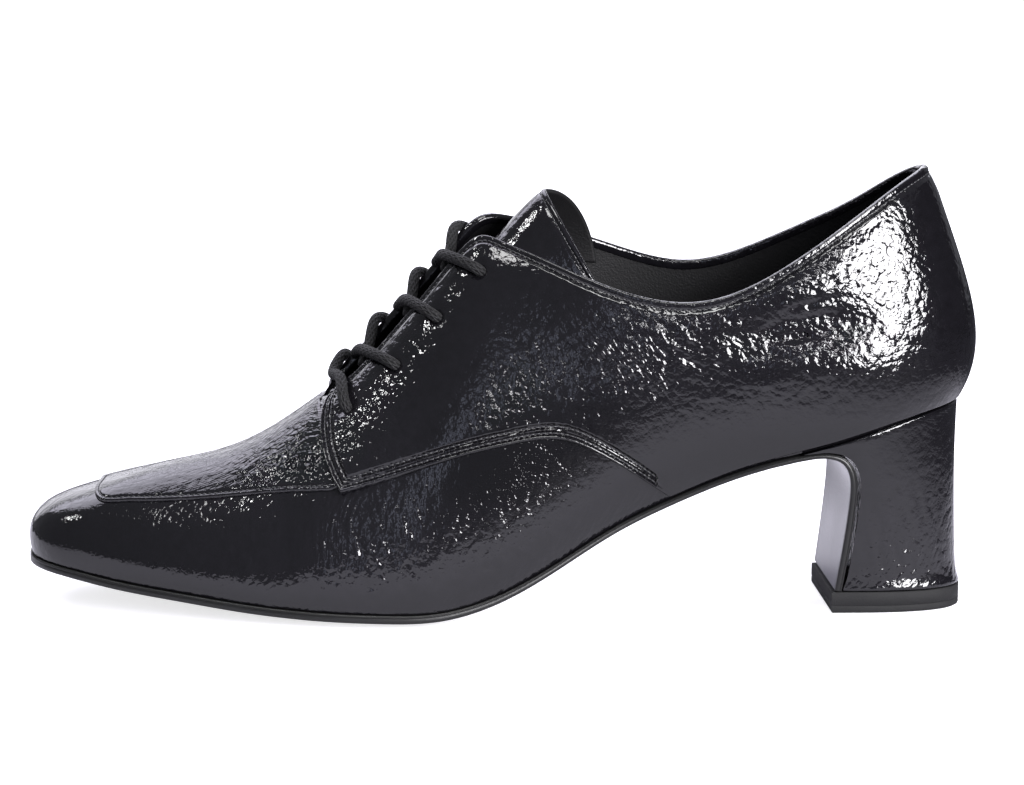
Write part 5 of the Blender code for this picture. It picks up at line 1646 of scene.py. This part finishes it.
def floor_material(colour):
    """A pale floor that fades into the white backdrop, and away from the lamps in the shoe's gloss."""
    material, graph, shader, place = new_material("studio_floor")
    seen = graph.node("ShaderNodeLightPath").outputs["Is Camera Ray"]
    near = graph.vector("MULTIPLY", graph.vector("SUBTRACT", place, FLOOR_MIDDLE), FLOOR_SQUEEZE)
    far = graph.node("ShaderNodeVectorMath", {0: near}, operation="LENGTH").outputs["Value"]
    mirrored = graph.math("SUBTRACT", 1.0, seen)
    unlit = graph.math("MULTIPLY", graph.between(far, 0.0, 1.0, *FLOOR_LIT), mirrored)
    graph.put(shader.inputs["Base Color"], graph.mixed(unlit, (*colour, 1.0), FLOOR_DARK))
    shader.inputs["Roughness"].default_value = FLOOR_ROUGH
    shader.inputs["Specular IOR Level"].default_value = FLOOR_SPECULAR
    shader.inputs["Emission Color"].default_value = WHITE
    glow = graph.between(far, *FLOOR_GLOW, *FLOOR_FADE)
    graph.put(shader.inputs["Emission Strength"], graph.math("MULTIPLY", glow, seen))
    return material


def flag_material():
    """Black cloth that keeps light off the heel's side."""
    material, graph, shader, place = new_material("studio_flag")
    weave = graph.noise(place, FLAG_WEAVE, 1.0)
    toned(graph, shader, FLAG_COLOUR, weave, FLAG_CHANGE)
    shader.inputs["Roughness"].default_value = 1.0
    return material


def studio_world(dim):
    """White to the camera, dim to the shoe."""
    world = bpy.data.worlds.new("studio")
    world.use_nodes = True
    tree = world.node_tree
    tree.nodes.clear()
    graph = Graph(tree)
    seen = graph.node("ShaderNodeLightPath").outputs["Is Camera Ray"]
    tint = graph.mixed(seen, ROOM_TINT, WHITE)
    strength = graph.between(seen, dim, 1.0)
    room = graph.node("ShaderNodeBackground", {"Color": tint, "Strength": strength})
    graph.node("ShaderNodeOutputWorld", {"Surface": room.outputs[0]})
    return world


class ShoeSizes(bpy.types.PropertyGroup):
    """Sizes of the visible pieces."""
    quarter_leather: FloatProperty(name="Quarter leather", description="Thickness of the quarters' leather",
                                   default=0.0012, unit="LENGTH", subtype="DISTANCE")
    apron_leather: FloatProperty(name="Apron leather", description="Thickness of the apron's leather",
                                 default=0.00095, unit="LENGTH", subtype="DISTANCE")
    edge_roll: FloatProperty(name="Edge roll", description="Radius of the folded leather edges",
                             default=0.0007, unit="LENGTH", subtype="DISTANCE")
    stitch_pitch: FloatProperty(name="Stitch pitch", description="Distance from one stitch to the next",
                                default=0.0015, unit="LENGTH", subtype="DISTANCE")
    stitch_length: FloatProperty(name="Stitch length", description="Visible length of one stitch",
                                 default=0.0011, unit="LENGTH", subtype="DISTANCE")
    thread: FloatProperty(name="Thread", description="Diameter of the sewing thread",
                          default=0.00036, unit="LENGTH", subtype="DISTANCE")
    lace: FloatProperty(name="Lace", description="Diameter of the lace",
                        default=0.003, unit="LENGTH", subtype="DISTANCE")
    crease: FloatProperty(name="Creases", description="Depth of the wearing creases, as a share",
                          default=1.0, subtype="FACTOR")


class ShoeColours(bpy.types.PropertyGroup):
    """Colours of the visible pieces."""
    patent: FloatVectorProperty(name="Patent", description="Colour of the patent leather",
                                default=(0.0035, 0.0033, 0.0042), subtype="COLOR")
    lining: FloatVectorProperty(name="Lining", description="Colour of the lining",
                                default=(0.003, 0.0029, 0.0034), subtype="COLOR")
    sole: FloatVectorProperty(name="Sole", description="Colour of the sole",
                              default=(0.006, 0.006, 0.006), subtype="COLOR")
    rubber: FloatVectorProperty(name="Top piece", description="Colour of the heel's top piece",
                                default=(0.0055, 0.0055, 0.006), subtype="COLOR")
    cord: FloatVectorProperty(name="Lace", description="Colour of the lace",
                              default=(0.0055, 0.0055, 0.006), subtype="COLOR")
    thread: FloatVectorProperty(name="Thread", description="Colour of the sewing thread",
                                default=(0.018, 0.018, 0.02), subtype="COLOR")


class ShoeStage(bpy.types.PropertyGroup):
    """The studio round the shoe."""
    floor: FloatVectorProperty(name="Floor", description="Colour of the floor",
                               default=(0.66, 0.65, 0.71), subtype="COLOR")
    light: FloatProperty(name="Light", description="Share of the lamps' power",
                         default=1.0, subtype="FACTOR")
    room: FloatProperty(name="Room", description="Brightness of the room that the shoe reflects",
                        default=0.23, subtype="FACTOR")


class SHOE_OT_upper(bpy.types.Operator):
    """Builds the vamp's patent leather and the lining inside it"""
    bl_idname = "shoe.upper"
    bl_label = "Upper and lining"

    def execute(self, context):
        skins = [look("vamp_patent"), look("lining_leather")]
        add_piece(vamp_mesh(context.scene.shoe_sizes.crease), skins, nodes=("upper",))
        add_piece(lining_mesh(), [skins[1], skins[1]])
        return {"FINISHED"}


class SHOE_OT_apron(bpy.types.Operator):
    """Builds the apron on top of the toe"""
    bl_idname = "shoe.apron"
    bl_label = "Apron"

    def execute(self, context):
        sizes = context.scene.shoe_sizes
        mesh = apron_mesh(sizes.apron_leather / MM, sizes.edge_roll / MM)
        add_piece(mesh, [look("apron_patent")] * 2, nodes=("apron",))
        return {"FINISHED"}


class SHOE_OT_quarters(bpy.types.Operator):
    """Builds both quarters with their folded toplines and eyelets"""
    bl_idname = "shoe.quarters"
    bl_label = "Quarters"

    def execute(self, context):
        sizes = context.scene.shoe_sizes
        skins = [look("quarter_patent")] * 2
        for name, node, side in (("quarter_leather_outer", "quarter_outer", 1),
                                 ("quarter_leather_inner", "quarter_inner", -1)):
            mesh = quarter_mesh(name, side, sizes.quarter_leather / MM, sizes.edge_roll / MM, sizes.crease)
            add_piece(mesh, skins, nodes=(node,))
        return {"FINISHED"}


class SHOE_OT_tongue(bpy.types.Operator):
    """Builds the tongue under the facings"""
    bl_idname = "shoe.tongue"
    bl_label = "Tongue"

    def execute(self, context):
        skins = [look("tongue_patent"), look("lining_leather")]
        add_piece(tongue_mesh(), skins, nodes=("tongue",))
        return {"FINISHED"}


class SHOE_OT_sole(bpy.types.Operator):
    """Builds the sole with its flap, and the sock inside"""
    bl_idname = "shoe.sole"
    bl_label = "Sole and sock"

    def execute(self, context):
        add_piece(sole_mesh(), [look("sole_leather")], nodes=("outsole",))
        add_piece(insole_mesh(), [look("lining_leather")], nodes=("insole",))
        return {"FINISHED"}


class SHOE_OT_heel(bpy.types.Operator):
    """Builds the heel's cover and its top piece"""
    bl_idname = "shoe.heel"
    bl_label = "Heel"

    def execute(self, context):
        cover = heel_mesh(context.scene.shoe_sizes.crease)
        add_piece(cover, [look("heel_patent")], nodes=("heel_block",))
        add_piece(top_piece_mesh(), [look("heel_rubber")], nodes=("heel_top_piece",))
        return {"FINISHED"}


class SHOE_OT_lace(bpy.types.Operator):
    """Runs the lace through the eyelets"""
    bl_idname = "shoe.lace"
    bl_label = "Lace"

    def execute(self, context):
        size = context.scene.shoe_sizes.lace / MM
        skin = [look("lace_cord")]
        bar = cord_mesh("lace_cord_bar", [strand_points(BAR, 0)], size)
        add_piece(bar, skin, nodes=("lace_bar",))
        for number in range(1, len(EYELETS_OUT)):
            strands = [strand_points(OVER, number), strand_points(UNDER, number)]
            mesh = cord_mesh(f"lace_cord_{number}", strands, size)
            add_piece(mesh, skin, nodes=(f"lace_cross_{number}",))
        return {"FINISHED"}


class SHOE_OT_stitches(bpy.types.Operator):
    """Sews the stitch rows of the quarters, the apron and the tongue"""
    bl_idname = "shoe.stitches"
    bl_label = "Stitches"

    def execute(self, context):
        sizes = context.scene.shoe_sizes
        leather_size, roll = sizes.quarter_leather / MM, sizes.edge_roll / MM
        rows = apron_rows(sizes.apron_leather / MM, roll) + tongue_rows()
        for side in (1, -1):
            rows += quarter_rows(side, leather_size, roll, sizes.crease)
        mesh = stitch_mesh(rows, sizes.stitch_pitch, sizes.stitch_length, sizes.thread, look("seam_thread"))
        add_piece(mesh, [])
        return {"FINISHED"}


class SHOE_OT_stage(bpy.types.Operator):
    """Sets the floor, the softboxes and the camera"""
    bl_idname = "shoe.stage"
    bl_label = "Stage"

    def execute(self, context):
        scene = context.scene
        stage = scene.shoe_stage
        reach, low = FLOOR_REACH, -FLOOR_DROP
        corners = [(-reach, -reach, low), (reach, -reach, low), (reach, reach, low), (-reach, reach, low)]
        floor = panel("studio_floor", corners, floor_material(stage.floor))
        flag = panel("studio_flag", FLAG, flag_material())
        flag.visible_camera = False
        lamps = [softbox(row, stage.light) for row in SOFTBOXES]
        scene.world = studio_world(stage.room)
        eye = bpy.data.cameras.new("photo_camera")
        eye.sensor_width = CAMERA_SENSOR
        eye.sensor_fit = "HORIZONTAL"
        eye.lens = CAMERA_LENS
        camera = new_object("photo_camera", eye)
        camera.location = CAMERA_EYE
        camera.rotation_euler = (math.radians(90.0 - CAMERA_TILT), 0.0, math.radians(180.0))
        scene.camera = camera
        scene.view_settings.view_transform = "Standard"
        return {"FINISHED"}


class SHOE_PT_panel(bpy.types.Panel):
    """Sizes, colours and steps of the shoe"""
    bl_label = "Lace-up shoe"
    bl_idname = "SHOE_PT_panel"
    bl_space_type = "VIEW_3D"
    bl_region_type = "UI"
    bl_category = "Shoe"

    def draw(self, context):
        for group in (context.scene.shoe_sizes, context.scene.shoe_colours, context.scene.shoe_stage):
            box = self.layout.box()
            for name in group.__annotations__:
                box.prop(group, name)
        for step in STEPS:
            self.layout.operator(step.bl_idname)


STEPS = (SHOE_OT_upper, SHOE_OT_apron, SHOE_OT_quarters, SHOE_OT_tongue, SHOE_OT_sole, SHOE_OT_heel,
         SHOE_OT_lace, SHOE_OT_stitches, SHOE_OT_stage)
GROUPS = {"shoe_sizes": ShoeSizes, "shoe_colours": ShoeColours, "shoe_stage": ShoeStage}


def register():
    """Adds the classes and the scene's properties."""
    for kind in (*GROUPS.values(), *STEPS, SHOE_PT_panel):
        bpy.utils.register_class(kind)
    for name, group in GROUPS.items():
        setattr(bpy.types.Scene, name, PointerProperty(type=group))


def unregister():
    """Takes them away again."""
    for name in GROUPS:
        delattr(bpy.types.Scene, name)
    for kind in reversed((*GROUPS.values(), *STEPS, SHOE_PT_panel)):
        bpy.utils.unregister_class(kind)


def main():
    """Builds the shoe and its stage."""
    register()
    bpy.ops.shoe.upper()
    bpy.ops.shoe.apron()
    bpy.ops.shoe.quarters()
    bpy.ops.shoe.tongue()
    bpy.ops.shoe.sole()
    bpy.ops.shoe.heel()
    bpy.ops.shoe.lace()
    bpy.ops.shoe.stitches()
    bpy.ops.shoe.stage()


if __name__ == "__main__":
    main()
